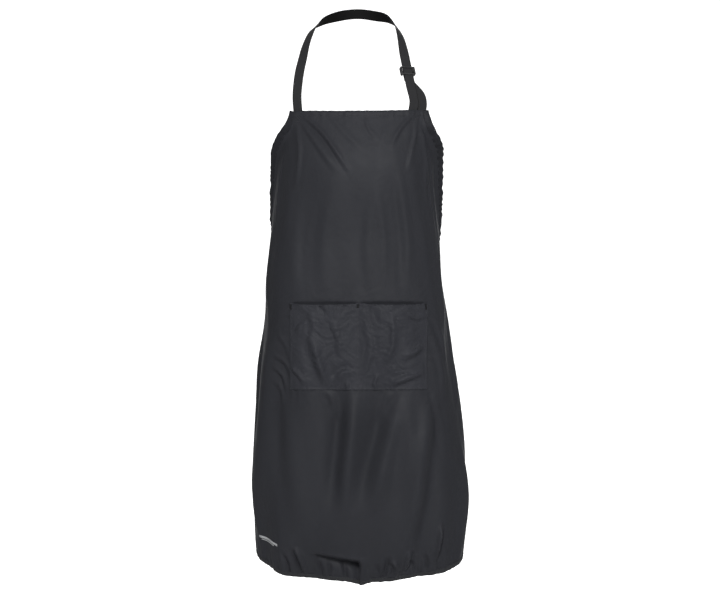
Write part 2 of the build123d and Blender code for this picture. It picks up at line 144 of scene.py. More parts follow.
def grid_normals(points):
    """Outward normals of a grid whose rows run down and whose columns run to the right."""
    return unit(np.cross(np.gradient(points, axis=0), np.gradient(points, axis=1)))


def travelled(line):
    """The distance along a line at each of its points."""
    return np.concatenate([[0], np.cumsum(np.linalg.norm(np.diff(line, axis=0), axis=1))])


def spline_through(points, per_span):
    """Evenly divided points on a smooth curve through the given ones."""
    points = np.array(points, dtype=float)
    padded = np.vstack([2 * points[0] - points[1], points, 2 * points[-1] - points[-2]])
    s = np.linspace(0, 1, per_span, endpoint=False)[:, None]
    line = []
    for before, start, end, after in zip(padded, padded[1:], padded[2:], padded[3:]):
        bend = 3 * start - before - 3 * end + after
        swing = 2 * before - 5 * start + 4 * end - after
        line.append(0.5 * (2 * start + (end - before) * s + swing * s ** 2 + bend * s ** 3))
    return np.vstack([*line, points[-1:]])


def evenly(points, spacing):
    """The same line with points a fixed distance apart, and its length."""
    gone = travelled(points)
    count = max(3, int(round(gone[-1] / spacing)) + 1)
    places = np.linspace(0, gone[-1], count)
    return np.stack([np.interp(places, gone, column) for column in points.T], -1), gone[-1]


def smooth_step(low, high, values):
    share = np.clip((values - low) / (high - low), 0, 1)
    return share * share * (3 - 2 * share)


def ripple(seed, *axes, count=6, spread=0.35):
    """A smooth random field, about -1 to 1. Each axis is (values, wavelength)."""
    rng = np.random.default_rng(seed)
    total = 0
    for _ in range(count):
        phase = rng.uniform(0, 2 * np.pi)
        for values, wavelength in axes:
            turns = rng.choice((-1, 1)) * rng.uniform(1 - spread, 1 + spread) / wavelength
            phase = phase + 2 * np.pi * turns * values
            phase = phase + rng.uniform(0, 2 * np.pi)
        total = total + np.sin(phase)
    return total / np.sqrt(count)


def crumple(seed, u, v, size):
    """A random field with the sharp little ridges of creased cloth, about -1 to 1."""
    bent_u = u + 0.35 * size * ripple(seed, (v, size * 2.1), (u, size * 3.1), count=4)
    bent_v = v + 0.35 * size * ripple(seed + 1, (u, size * 1.9), (v, size * 3.7), count=4)
    layers = 0
    for k in range(3):
        axes = (bent_u, size * (1.3 + 0.5 * k)), (bent_v, size * (2.1 - 0.5 * k))
        layers = layers + 1 - 2 * np.abs(np.tanh(ripple(seed + 2 + k, *axes, count=4, spread=0.7)))
    return layers / 3


# Meshes

def add_object(name, data):
    obj = bpy.data.objects.new(name, data)
    bpy.context.scene.collection.objects.link(obj)
    return obj


def add_mesh(name, vertices, faces, material):
    """A smooth-shaded mesh object from vertices in metres."""
    mesh = bpy.data.meshes.new(name)
    mesh.from_pydata(vertices, [], faces)
    mesh.polygons.foreach_set("use_smooth", [True] * len(mesh.polygons))
    mesh.update()
    mesh.materials.append(material)
    return add_object(name, mesh)


def make_object(name, vertices, faces, material, slot, uvs=None):
    """A mesh object from millimetre vertices, with its material and UVs. Its slot is not used."""
    obj = add_mesh(name, (np.asarray(vertices) * MM).tolist(), faces, material)
    if uvs is not None:
        layer = obj.data.uv_layers.new(name="UVMap")
        loops = np.empty(len(obj.data.loops), dtype=np.int32)
        obj.data.loops.foreach_get("vertex_index", loops)
        layer.data.foreach_set("uv", (np.asarray(uvs) * MM)[loops].ravel())
    return obj


def finish_piece(obj, *nodes, on="apron"):
    """The piece moves with that body and stands for those CAD nodes."""
    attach(obj, on)
    if nodes:
        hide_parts(*nodes)
    return obj


def grid_faces(rows, columns, around=False):
    """Quads of a grid; around joins its last column to its first."""
    i, j = np.meshgrid(np.arange(rows - 1), np.arange(columns if around else columns - 1),
                       indexing="ij")
    k = (j + 1) % columns
    corners = i * columns + j, (i + 1) * columns + j, (i + 1) * columns + k, i * columns + k
    return np.stack(corners, -1).reshape(-1, 4)


def sheet_shell(outer, inner):
    """Vertices and faces of a closed thin sheet between two matching grids of points."""
    rows, columns = outer.shape[:2]
    count = rows * columns
    front = grid_faces(rows, columns)
    index = np.arange(count).reshape(rows, columns)
    rim = np.concatenate([index[0, :], index[1:, -1], index[-1, -2::-1], index[-2:0:-1, 0]])
    ahead = np.roll(rim, -1)
    sides = np.stack([rim, ahead, ahead + count, rim + count], -1)
    vertices = np.concatenate([outer.reshape(-1, 3), inner.reshape(-1, 3)])
    return vertices, np.concatenate([front, front[:, ::-1] + count, sides]).tolist()


def tube_shell(rings, inside_out=False):
    """Vertices and faces of a solid through rings of points, an array of (stations, around, 3)."""
    stations, around = rings.shape[:2]
    faces = grid_faces(stations, around, around=True).tolist()
    faces.append(list(range(around)))
    faces.append(list(range((stations - 1) * around, stations * around))[::-1])
    if inside_out:
        faces = [face[::-1] for face in faces]
    return rings.reshape(-1, 3), faces


def joined(shells):
    """One set of vertices and faces from several."""
    vertices = []
    faces = []
    base = 0
    for points, polygons in shells:
        faces.extend([corner + base for corner in polygon] for polygon in polygons)
        vertices.append(points)
        base += len(points)
    return np.concatenate(vertices), faces


def slab(name, outer, inner, material, slot, uvs):
    """A piece of thin sheet between two grids of points, with the same UVs on both faces."""
    both = np.concatenate([uvs.reshape(-1, 2)] * 2)
    return make_object(name, *sheet_shell(outer, inner), material, slot, both)


def swept(name, rings, material, slot, uvs):
    """A solid piece through rings of points."""
    return make_object(name, *tube_shell(rings), material, slot, uvs.reshape(-1, 2))


def over_and_under(upper, *tips):
    """A closed section from its upper half, and the tips where the two halves meet, if any."""
    lower = [(across, -height) for across, height in upper[::-1]]
    return [*upper, *[(tip, 0) for tip in tips[:1]], *lower, *[(tip, 0) for tip in tips[1:]]]


# Materials

def new_material(name, settings=()):
    """A material, its node tree and its shader, with constant (socket, value) settings."""
    material = bpy.data.materials.new(name)
    material.use_nodes = True
    tree = material.node_tree
    tree.nodes.clear()
    output = tree.nodes.new("ShaderNodeOutputMaterial")
    shader = tree.nodes.new("ShaderNodeBsdfPrincipled")
    tree.links.new(shader.outputs[0], output.inputs[0])
    for socket, value in settings:
        shader.inputs[socket].default_value = value
    return material, tree, shader


def math_node(tree, operation, first, second=None):
    node = tree.nodes.new("ShaderNodeMath")
    node.operation = operation
    for socket, value in zip(node.inputs, (first, second)):
        if isinstance(value, (int, float)):
            socket.default_value = value
        elif value is not None:
            tree.links.new(value, socket)
    return node.outputs[0]


def uv_axes(tree):
    uv = tree.nodes.new("ShaderNodeUVMap")
    split = tree.nodes.new("ShaderNodeSeparateXYZ")
    tree.links.new(uv.outputs[0], split.inputs[0])
    return split.outputs


def threads(tree, spacing_u, spacing_v, ridge_v=1.0):
    """Height of an over-and-under weave, 0 to 1, from UVs in metres."""
    waves = []
    for axis, spacing in zip(uv_axes(tree), (spacing_u, spacing_v)):
        waves.append(math_node(tree, "SINE", math_node(tree, "MULTIPLY", axis, 2 * np.pi / spacing)))
    product = math_node(tree, "MULTIPLY", waves[0], waves[1])
    weave = math_node(tree, "ADD", product, math_node(tree, "MULTIPLY", waves[1], ridge_v))
    return math_node(tree, "MULTIPLY_ADD", weave, 0.25)


def noise(tree, scale, detail=4.0, stretch=(1, 1, 1)):
    """Noise fixed to the object, with stretch dividing its size along each axis."""
    where = tree.nodes.new("ShaderNodeTexCoord")
    mapping = tree.nodes.new("ShaderNodeMapping")
    mapping.inputs["Scale"].default_value = stretch
    node = tree.nodes.new("ShaderNodeTexNoise")
    node.inputs["Scale"].default_value = scale
    node.inputs["Detail"].default_value = detail
    tree.links.new(where.outputs["Object"], mapping.inputs[0])
    tree.links.new(mapping.outputs[0], node.inputs["Vector"])
    return node.outputs["Fac"]


def colour(tree, shader, factor, low, high, start=0.3, end=0.7, below=None):
    """Base colour from low to high as the factor goes from start to end, or below near 0."""
    node = tree.nodes.new("ShaderNodeValToRGB")
    stops = node.color_ramp.elements
    for stop, position, shade in ((stops[0], start, low), (stops[1], end, high)):
        stop.position = position
        stop.color = (*shade, 1)
    if below is not None:
        stops.new(0.0).color = (*below, 1)
    tree.links.new(factor, node.inputs[0])
    tree.links.new(node.outputs[0], shader.inputs["Base Color"])


def roughness(tree, shader, factor, low, high):
    node = tree.nodes.new("ShaderNodeMapRange")
    node.inputs["To Min"].default_value = low
    node.inputs["To Max"].default_value = high
    tree.links.new(factor, node.inputs["Value"])
    tree.links.new(node.outputs[0], shader.inputs["Roughness"])


def bumps(tree, shader, *layers):
    """Stacked bump nodes, each (height, distance in metres, strength)."""
    normal = None
    for height, distance, strength in layers:
        node = tree.nodes.new("ShaderNodeBump")
        node.inputs["Distance"].default_value = distance
        node.inputs["Strength"].default_value = strength
        tree.links.new(height, node.inputs["Height"])
        if normal is not None:
            tree.links.new(normal, node.inputs["Normal"])
        normal = node.outputs[0]
    tree.links.new(normal, shader.inputs["Normal"])


def nylon(name, low, high):
    """Fine plain-woven nylon: faint colour change, soft sheen, and thread-sized relief."""
    material, tree, shader = new_material(name, [
        ("Specular IOR Level", 0.10), ("Sheen Weight", 0.02), ("Sheen Roughness", 0.35),
        ("Sheen Tint", (0.75, 0.8, 0.9, 1))])
    colour(tree, shader, noise(tree, 9.0, 5.0, (1, 1, 0.4)), low, high)
    roughness(tree, shader, noise(tree, 60.0, 3.0), 0.47, 0.62)
    bumps(tree, shader, (noise(tree, 140.0, 3.0), 0.0004, 0.35),
          (threads(tree, 0.00042, 0.00042, 0.3), 0.00005, 0.6))
    return material


def woven(name, low, high, along=0.0016, across=0.0012, relief=0.00022, sheen=0.03, painted_edge_shade=None):
    """Coarse narrow weaving, such as webbing, tape or elastic. Past a given distance from its middle,
    it is darker: painted shade along its edges, for the shadow lines between overlapping strands."""
    material, tree, shader = new_material(name, [
        ("Specular IOR Level", 0.12), ("Sheen Weight", sheen), ("Sheen Roughness", 0.5)])
    weave = threads(tree, along, across, 0.6)
    shade = weave
    below = None
    # Painted shade: the colour darkens past that distance from the middle, standing in for shadow along
    # the edges
    if painted_edge_shade is not None:
        past = math_node(tree, "SUBTRACT", math_node(tree, "ABSOLUTE", uv_axes(tree)[1]), painted_edge_shade)
        dark = math_node(tree, "MAXIMUM", math_node(tree, "MULTIPLY", past, 1200.0), 0.0)
        shade = math_node(tree, "SUBTRACT", weave, dark)
        below = [0.15 * value for value in low]
    colour(tree, shader, shade, low, high, 0.1, 0.9, below)
    roughness(tree, shader, noise(tree, 900.0, 2.0), 0.6, 0.8)
    bumps(tree, shader, (weave, relief, 0.9), (noise(tree, 1500.0, 3.0), 0.0001, 0.4))
    return material


def thread_material(name, low, high):
    material, tree, shader = new_material(name, [
        ("Roughness", 0.5), ("Specular IOR Level", 0.25), ("Sheen Weight", 0.05)])
    colour(tree, shader, noise(tree, 1800.0, 3.0), low, high)
    bumps(tree, shader, (noise(tree, 3500.0, 3.0, (1, 1, 3)), 0.00012, 0.7))
    return material


def moulded_plastic(name):
    material, tree, shader = new_material(name)
    colour(tree, shader, noise(tree, 300.0, 4.0), (0.016, 0.016, 0.017), (0.026, 0.026, 0.028))
    roughness(tree, shader, noise(tree, 420.0, 3.0), 0.32, 0.5)
    bumps(tree, shader, (noise(tree, 2600.0, 3.0), 0.00006, 0.6))
    return material


def print_ink(name):
    material, tree, shader = new_material(name, [("Roughness", 0.7)])
    patchy = noise(tree, 700.0, 4.0)
    colour(tree, shader, patchy, (0.20, 0.205, 0.21), (0.42, 0.43, 0.44), 0.35, 0.6)
    bumps(tree, shader, (patchy, 0.00008, 0.5))
    return material


BODY = nylon("body_nylon", (0.0205, 0.0212, 0.0252), (0.0245, 0.0253, 0.0298))
POCKET_CLOTH = nylon("pocket_nylon", (0.0242, 0.0250, 0.0300), (0.0292, 0.0301, 0.0358))
# Painted shade: a darker copy of the body nylon, for the armhole casings and the keeper patch
SHADED_NYLON = nylon("nylon_painted_shade", (0.0145, 0.0150, 0.0180), (0.0190, 0.0196, 0.0235))
TAPE = woven("binding_tape", (0.019, 0.020, 0.022), (0.031, 0.032, 0.035), 0.0011, 0.0009, 0.00012)
# Painted shade: the webbing darkens past 8.8 mm from its middle, for the shadow lines between strands
WEBBING = woven("webbing", (0.0135, 0.0135, 0.0145), (0.029, 0.029, 0.031), painted_edge_shade=0.0088)
# Painted shade: a near-black copy of the webbing for the strap's inner face, so its back looks shaded
INNER_FACE_SHADE = woven("webbing_inner_face_shade", (0.001, 0.001, 0.0011), (0.003, 0.003, 0.0033), sheen=0.0)
ELASTIC = woven("braided_elastic", (0.020, 0.020, 0.022), (0.040, 0.040, 0.043), 0.0022, 0.0009)
THREAD = thread_material("thread", (0.012, 0.0125, 0.015), (0.030, 0.031, 0.035))
TACK_THREAD = thread_material("tack_thread", (0.003, 0.003, 0.004), (0.009, 0.009, 0.011))
PLASTIC = moulded_plastic("slider_plastic")
INK = print_ink("print_ink")


# Webbing and stitches

def webbing_rings(points, facings, width=WEBBING_WIDTH, thickness=1.3, widths=1.0):
    """Rings of a flat woven strap with soft, slightly thicker edges, and their UVs. The outer
    face looks the way of its facings, and widths narrows it along its length."""
    along = unit(np.gradient(points, axis=0))
    side = unit(np.cross(facings, along))
    out = unit(np.cross(along, side))
    shares = np.linspace(-1, 1, 15)
    ridges = 1 + 0.12 * np.exp(-((np.abs(shares) - 0.86) / 0.07) ** 2)
    lifts = thickness / 2 * ridges * (1 - 0.75 * np.abs(shares) ** 6)
    ring = np.array(over_and_under(list(zip(shares * width / 2, lifts))))
    narrowed = ring[:, 0] * np.broadcast_to(widths, len(points))[:, None]
    rings = points[:, None] + side[:, None] * narrowed[..., None] + out[:, None] * ring[:, 1:]
    return rings, np.stack(np.broadcast_arrays(travelled(points)[:, None], ring[:, 0]), -1)


def strap(name, rings, uvs):
    """Webbing through these rings, whose inner half has a near-black copy of the webbing as painted
    shade.
    """
    obj = swept(name, rings, WEBBING, "webbing", uvs)
    obj.data.materials.append(INNER_FACE_SHADE)
    around = rings.shape[1]
    for polygon in obj.data.polygons:
        if len(polygon.vertices) == 4 and polygon.vertices[0] % around >= around // 2:
            polygon.material_index = 1
    return obj


def strap_run(route, facings, spacing):
    """Even points, facings and distances on a smooth line through a strap's route."""
    even, length = evenly(spline_through(np.hstack([route, facings]), 12), spacing)
    return even[:, :3], unit(even[:, 3:]), np.linspace(0, length, len(even))


def webbing(name, route, facings, **shape):
    """A strap along a route of points, each with the way its outer face looks."""
    points, facings, _ = strap_run(route, facings, 2.0)
    return strap(name, *webbing_rings(points, facings, **shape))


def stitches(name, lines, on="apron", material=THREAD, pitch=3.2, length=2.5, width=0.62, height=0.5):
    """Lines of thread stitches that stand for the CAD node of that name. Each line is (points,
    outward normals)."""
    shares = np.array([0.0, 0.35, 0.8, 1.0, 0.8, 0.35, 0.0])[:, None]
    turns = np.linspace(0, 2 * np.pi, 6, endpoint=False)
    swell = np.maximum(shares, 0.12)
    forward = np.linspace(-length / 2, length / 2, len(shares))[:, None]
    aside = np.cos(turns) * width / 2 * swell
    rise = np.sin(turns) * height / 2 * swell + 0.12 * (shares - 0.5)
    shells = []
    for points, normals in lines:
        even, _ = evenly(np.hstack([points, normals]), pitch)
        centres = even[:, :3]
        out = unit(even[:, 3:])
        along = unit(np.gradient(centres, axis=0))
        side = unit(np.cross(out, along))
        for centre, a, s, o in zip(centres[:-1], along, side, out):
            rings = centre + a * forward[..., None] + s * aside[..., None] + o * rise[..., None]
            shells.append(tube_shell(rings, inside_out=True))
    return finish_piece(make_object(name, *joined(shells), material, "thread"), name, on=on)


# The body cloth and its folds. A place on the cloth is (u, z), with u the distance round it.

ROUND = 2.9              # millimetres round the cloth for each degree
BIB_DEPTH = 1.2
SKIRT_DEPTH = 4.0


def crease(u, z, path, height, width, twist):
    """A ridge, or a valley if height is negative, along a path, that dies away at both ends.
    With twist it is a step from a ridge on its left side to a valley on its right."""
    line, length = evenly(spline_through(path, 8), 6.0)
    ways = unit(np.gradient(line, axis=0))
    near = np.zeros(np.shape(u), dtype=int)
    best = np.full(np.shape(u), np.inf)
    for i, (place_u, place_z) in enumerate(line):
        gap = (u - place_u) ** 2 + (z - place_z) ** 2
        near = np.where(gap < best, i, near)
        best = np.minimum(gap, best)
    step = length / (len(line) - 1)
    du = u - line[near, 0]
    dz = z - line[near, 1]
    share = (near * step + du * ways[near, 0] + dz * ways[near, 1]) / length
    aside = (dz * ways[near, 0] - du * ways[near, 1]) / width
    fade = smooth_step(-0.12, 0.3, share) * (1 - smooth_step(0.6, 1.12, share))
    return height * fade * np.exp(-aside ** 2) * (1 - abs(twist) + 2.3 * twist * aside)


# Each fold: the (x, z) places that it runs through, then its height, half width and twist
FRONT_FOLDS = [
    ([(-110, -225), (-72, -261), (-23, -334)], 3.0, 6, 0.8),
    ([(-114, -233), (-91, -271), (-50, -330)], 2.2, 7, 0.6),
    ([(-120, -237), (-113, -290), (-121, -366)], 2.2, 8, -0.5),
    ([(-62, -222), (-30, -262), (10, -300)], 1.4, 8, 0.6),
    ([(8, -230), (14, -250), (32, -272)], 1.3, 5, 0.6),
    ([(56, -226), (50, -258), (34, -300)], 0.9, 7, -0.5),
    ([(101, -225), (80, -248), (61, -284)], 2.6, 6, -0.6),
    ([(106, -229), (101, -271), (88, -330)], 2.4, 7, 0.5),
    ([(114, -233), (127, -290), (130, -385)], 2.4, 7, -0.5),
    ([(70, -330), (84, -461), (86, -575)], 3.0, 14, 0.7),
    ([(34, -350), (50, -450), (52, -560)], 1.8, 12, -0.6),
    ([(19, -366), (8, -470), (20, -570)], 1.8, 13, 0.6),
    ([(-60, -360), (-78, -470), (-70, -575)], 1.8, 16, 0.6),
    ([(-110, -380), (-118, -470), (-112, -570)], 2.0, 15, -0.5),
    ([(-26, -750), (-32, -850), (-44, -985)], 3.6, 17, 0.9),
    ([(58, -765), (38, -860), (12, -970)], 3.2, 19, 0.8),
    ([(-158, -745), (-146, -870), (-116, -1085)], 4.2, 26, 0.9),
    ([(138, -790), (122, -930), (100, -1070)], 3.2, 22, -0.8),
    ([(96, -760), (100, -850), (84, -950)], 1.6, 16, -0.5),
    ([(-66, -750), (-56, -768), (-50, -800)], 1.1, 8, 0.7),
    ([(66, -750), (50, -776), (46, -800)], 0.9, 8, -0.7),
    ([(-166, -684), (-146, -698), (-134, -722)], 2.4, 5, 0.7),
    ([(-168, -706), (-152, -722), (-143, -752)], 2.6, 5, 0.7),
    ([(-170, -730), (-156, -748), (-150, -780)], 1.8, 6, 0.6),
    ([(-160, -640), (-146, -662), (-136, -690)], 1.6, 6, 0.6),
    ([(132, -604), (150, -640), (160, -690)], 2.2, 8, 0.7),
    ([(130, -640), (150, -700), (158, -760)], 2.4, 9, 0.7),
    ([(132, -742), (150, -800), (164, -880)], 2.4, 9, 0.7),
    ([(158, -1008), (154, -1040), (146, -1080)], 2.8, 4.5, -0.9),
    ([(-128, -1050), (-118, -1075), (-112, -1100)], 2.2, 6, 0.7),
    ([(60, -1075), (68, -1092), (64, -1110)], 2.0, 5, 0.8),
    ([(100, -1055), (96, -1080), (84, -1100)], 2.2, 6, -0.7),
    ([(-150, -1060), (-143, -1080), (-140, -1104)], -1.6, 3.8, 0.4),
    ([(-84, -1076), (-79, -1092), (-74, -1114)], -1.6, 3.6, 0.3),
    ([(-60, -1078), (-57, -1094), (-60, -1115)], -1.5, 3.4, -0.4),
    ([(-36, -1078), (-32, -1094), (-28, -1116)], -1.6, 3.6, 0.4),
    ([(30, -1082), (34, -1096), (40, -1116)], -1.6, 3.6, 0.4),
    ([(58, -1066), (53, -1088), (46, -1114)], -1.8, 4.0, -0.5),
    ([(92, -1072), (103, -1088), (108, -1107)], -1.6, 3.8, 0.4),
    ([(128, -1062), (134, -1080), (132, -1100)], -1.6, 4.0, -0.4),
]
# Folds round the sides, where x says little: the same, with the places as (angle, z)
SIDE_FOLDS = [
    ([(-66, -290), (-70, -340), (-71, -420)], 2.4, 4.5, 0.0),
    ([(60, -270), (63, -330), (70, -440)], 2.2, 4.0, 0.0),
    ([(67, -290), (71, -350), (77, -450)], 2.2, 4.0, 0.2),
    ([(-78, -430), (-80, -520), (-74, -620)], 3.0, 12, 0.6),
    ([(80, -470), (76, -560), (70, -650)], 3.0, 11, -0.6),
    ([(86, -600), (84, -700), (74, -800)], 3.4, 12, 0.6),
    ([(-88, -640), (-84, -760), (-78, -880)], 3.4, 13, -0.6),
    ([(98, -520), (102, -700), (98, -900)], 3.0, 15, 0.5),
    ([(-100, -520), (-103, -700), (-98, -900)], 3.0, 15, 0.5),
    ([(80, -860), (84, -940), (80, -1040)], 3.0, 12, -0.6),
    ([(-86, -900), (-80, -980), (-72, -1060)], 3.0, 12, 0.6),
]
POCKET_LEFT = -134.0
POCKET_DIVIDER = -3.0
POCKET_RIGHT = 129.0
POCKET_TOP = -581.0
POCKET_BOTTOM = -746.0

# Beside the armholes the gathered edge stands away from the fold in front of it
left_flare = smooth_curve((-500, 0), (-460, 1.5), (-405, 6), (-340, 9), (-280, 9), (-245, 5),
                          (-205, 1))
right_flare = smooth_curve((-500, 0), (-460, 4), (-400, 9), (-340, 12), (-280, 12), (-245, 7),
                           (-205, 1))


def gather_phase(side, z):
    """The phase of the gathers that the elastic draws up, by height along the armhole."""
    return 2 * np.pi * z / 13.0 + 2.6 * ripple(31 if side < 0 else 37, (z, 60), count=4)


def mouth_hollow(x, z):
    """How far the body cloth sinks behind the pocket's mouth."""
    ends = smooth_step(POCKET_LEFT + 2, POCKET_LEFT + 10, x)
    ends = ends * smooth_step(POCKET_RIGHT - 2, POCKET_RIGHT - 10, x)
    divider = 1 - np.exp(-((x - POCKET_DIVIDER) / 5.0) ** 2)
    return 2.6 * ends * divider * smooth_step(-578.0, -582.0, z) * smooth_step(-660, -600, z)


def hem_tuck(x, z):
    """A tuck above the middle of the hem, on the wearer's right of its centre line: its line
    drops and its step deepens towards the ridge at its inner end."""
    share = np.clip((x + 91) / 88, 0, 1)
    below = -1061 - 12 * share ** 1.3 - z
    window = smooth_step(-98, -78, x) * smooth_step(1.5, -1.5, x)
    step = 5.0 + 9.0 * share
    depth = 10.0 + 15.0 * share
    sunk = depth * window * smooth_step(-1.0, step, below) * np.exp(-np.maximum(below - step, 0) / 17.0)
    lip = 1.6 * window * np.exp(-np.abs(below + 1) / 5.0) * (below < 0)
    ridge = 3.6 * np.exp(-np.maximum(x, 0) / 9.0) * smooth_step(-2.0, 0.8, x)
    return lip + ridge * smooth_step(-1064, -1074, z) - sunk


def fold_relief(u, z):
    """The folds of the two tables."""
    relief = 0
    for path, *shape in FRONT_FOLDS:
        x, down = np.array(path, dtype=float).T
        path = np.stack([ROUND * angle_at(x, down), down], -1)
        depth = BIB_DEPTH if down[0] > POCKET_BOTTOM else SKIRT_DEPTH
        relief = relief + depth * crease(u, z, path, *shape)
    for path, *shape in SIDE_FOLDS:
        relief = relief + crease(u, z, np.array(path) * (ROUND, 1), *shape)
    return relief


def armhole_relief(angle, z, from_edge):
    """Gathers beside the armholes, and the flare of that edge."""
    relief = 0
    for side, flare, depth in ((-1, left_flare, 0.35), (1, right_flare, 0.6)):
        gathers = depth * np.sin(gather_phase(side, z)) * np.exp(-from_edge / 9.0)
        gathers = gathers + 0.45 * ripple(71, (z, 30), count=4) * np.exp(-from_edge / 22.0)
        standing = flare(z) * np.clip(1 - from_edge / 24.0, 0, 1) ** 1.6
        here = np.sign(angle) == side
        relief = relief + here * (gathers * smooth_step(-225, -262, z) + standing)
    return relief


def top_relief(u, from_top):
    """The turned hem lies double, with a slight hollow along its stitches."""
    relief = 0.35 * smooth_step(10.5, 8.0, from_top) - 0.3 * np.exp(-((from_top - 9) / 2.0) ** 2)
    return relief + 0.35 * ripple(73, (u, 15), count=5) * np.exp(-from_top / 14.0)


def pocket_relief(x, z, angle, beside):
    """Puckers round the pocket's sewn sides and bottom, and the hollow behind its mouth."""
    seam = (z < POCKET_TOP + 10) * np.exp(-beside / 11.0) * (beside > 0) * (np.abs(angle) < 89)
    below, aside = [ripple(seed, (values, 15), count=5) for seed, values in ((101, x), (103, z))]
    return 0.6 * seam * np.where(z < POCKET_BOTTOM, below, aside) - mouth_hollow(x, z)


def hem_relief(x, z, u, from_hem):
    """Puckers above the bound skirt edge, which holds them flat and draws in a little."""
    front = smooth_step(60, 35, np.abs(u / ROUND))
    pucker = 4.2 * ripple(79, (u, 27), count=6) * np.exp(-from_hem / 26.0)
    pucker = pucker + 1.3 * ripple(83, (u, 38), count=5) * np.exp(-from_hem / 30.0)
    pucker = pucker * (0.4 + 0.6 * front) * (1 - 0.75 * np.exp(-from_hem / 9.0))
    drawn_in = (1.8 + 15.0 * front) * np.exp(-from_hem / 42.0)
    return (pucker + hem_tuck(x, z) - drawn_in) * smooth_step(-890, -985, z)


def body_relief(points, angle, from_top):
    """How far the worn cloth stands off its smooth form at each place."""
    u = ROUND * angle
    x = points[..., 0]
    z = points[..., 2]
    from_edge = (side_angle(z) - np.abs(angle)) * ROUND
    from_hem = np.maximum(z - hem_z(np.abs(angle)), 0)
    beside = np.maximum.reduce([POCKET_LEFT - x, x - POCKET_RIGHT, POCKET_BOTTOM - z, 0 * x])
    off_pocket = np.maximum(beside, z - POCKET_TOP)
    armhole = smooth_step(-500, -470, z)
    waves = (0.8 + 2.6 * smooth_step(-560, -700, z)) * ripple(11, (u, 120), (z, 620))
    waves = waves + 0.45 * ripple(23, (u, 52), (z, 260))
    # The cloth is creased most where it has been worked: at its seams and hems
    worked = (0.22 + 0.5 * np.exp(-off_pocket / 22.0) + 0.6 * np.exp(-from_hem / 30.0)
              + 0.3 * np.exp(-from_top / 30.0))
    creases = worked * (crumple(29, u, z, 34.0) + 0.4 * crumple(131, u, z, 17.0))
    sides = 0.45 * ripple(89, (z, 32)) * np.exp(-from_edge / 12.0) * (1 - armhole)
    return (fold_relief(u, z) + waves + creases + armhole * armhole_relief(angle, z, from_edge)
            + top_relief(u, from_top) + pocket_relief(x, z, angle, beside)
            + hem_relief(x, z, u, from_hem) + sides * smooth_step(CORNER_Z, CORNER_Z + 40, z))


class Cloth:
    """A grid of cloth points that trims and threads can be laid on."""

    def __init__(self, rows, columns):
        side = np.linspace(-1, 1, columns)
        self.shares = side * (1.22 - 0.22 * side ** 2)
        self.rows = rows
        share, down = np.meshgrid(self.shares, np.linspace(0, 1, rows))
        top = top_z(share)
        z = top.copy()
        for _ in range(12):
            angle = share * side_angle(z)
            z = top + (hem_z(np.abs(angle)) - top) * down
        angle = share * side_angle(z)
        form = worn_form(angle, z)
        relief = body_relief(form, angle, top - z)
        self.points = form + grid_normals(form) * relief[..., None]
        self.normals = grid_normals(self.points)

    def at(self, angle, z, lift=0.0):
        """Points lying lift millimetres outside the cloth at these angles and heights."""
        share = angle / side_angle(z)
        top = top_z(share)
        row = (top - z) / (top - hem_z(np.abs(angle))) * (self.rows - 1)
        column = np.interp(share, self.shares, np.arange(len(self.shares)))
        row = np.clip(row, 0, self.rows - 1.001)
        column = np.clip(column, 0, len(self.shares) - 1.001)
        i = row.astype(int)
        j = column.astype(int)
        a = (row - i)[..., None]
        b = (column - j)[..., None]

        def blend(field):
            upper = field[i, j] * (1 - b) + field[i, j + 1] * b
            lower = field[i + 1, j] * (1 - b) + field[i + 1, j + 1] * b
            return upper * (1 - a) + lower * a

        normals = unit(blend(self.normals))
        return blend(self.points) + normals * np.asarray(lift)[..., None], normals


body = Cloth(rows=340, columns=261)
LAST_COLUMN = body.points.shape[1] - 1


def make_body_cloth():
    across = travelled(body.points[len(body.points) // 2])
    down = travelled(body.points[:, (LAST_COLUMN + 1) // 2])
    face = body.normals * FRONT_FACE
    cloth = slab("body_cloth", body.points + face, body.points - face, BODY, "body_cloth",
                 np.stack(np.meshgrid(across, down), -1))
    return finish_piece(cloth, "main_panel")


# Edges of the body cloth

EDGE_CALM = 9.0          # how far along an edge its directions are averaged


def averaged(values, reach):
    """The mean of the values within that many places to each side."""
    padded = np.pad(values, reach, mode="edge")
    return np.convolve(padded, np.full(2 * reach + 1, 1 / (2 * reach + 1)), mode="valid")


class Edge:
    """An even run along the cloth's edge: points, ways out of the cloth and away from it."""

    def __init__(self, points, normals, inner, spacing):
        even, self.length = evenly(np.hstack([points, normals, points - inner]), spacing)
        calm = np.stack([averaged(column, int(EDGE_CALM / spacing)) for column in even.T], -1)
        self.points = even[:, :3]
        self.out = unit(calm[:, 3:6])
        outboard = unit(np.cross(self.out, unit(np.gradient(calm[:, :3], axis=0))))
        facing = np.sign(np.sum(outboard * calm[:, 6:], axis=1, keepdims=True))
        self.outboard = outboard * np.where(facing == 0, 1, facing)
        self.travelled = np.linspace(0, self.length, len(self.points))

    def place(self, outboard, height):
        """Points that far outboard of the edge and above the cloth's middle."""
        return (self.points + self.outboard * np.asarray(outboard)[..., None]
                + self.out * np.asarray(height)[..., None])

    def rings(self, outboard, height):
        """Section points (stations, around) placed at every station."""
        return (self.points[:, None] + self.outboard[:, None] * outboard[..., None]
                + self.out[:, None] * height[..., None])


def grid_edge(rows, columns, inner_rows, inner_columns, spacing):
    return Edge(body.points[rows, columns], body.normals[rows, columns],
                body.points[inner_rows, inner_columns], spacing)


def side_edge(side, high, low, spacing):
    """The cloth's left or right edge between two heights."""
    column, inner = (-1, -4) if side > 0 else (0, 3)
    heights = body.points[:, column, 2]
    rows = np.flatnonzero((heights <= high) & (heights >= low))
    return grid_edge(rows, column, rows, inner, spacing)


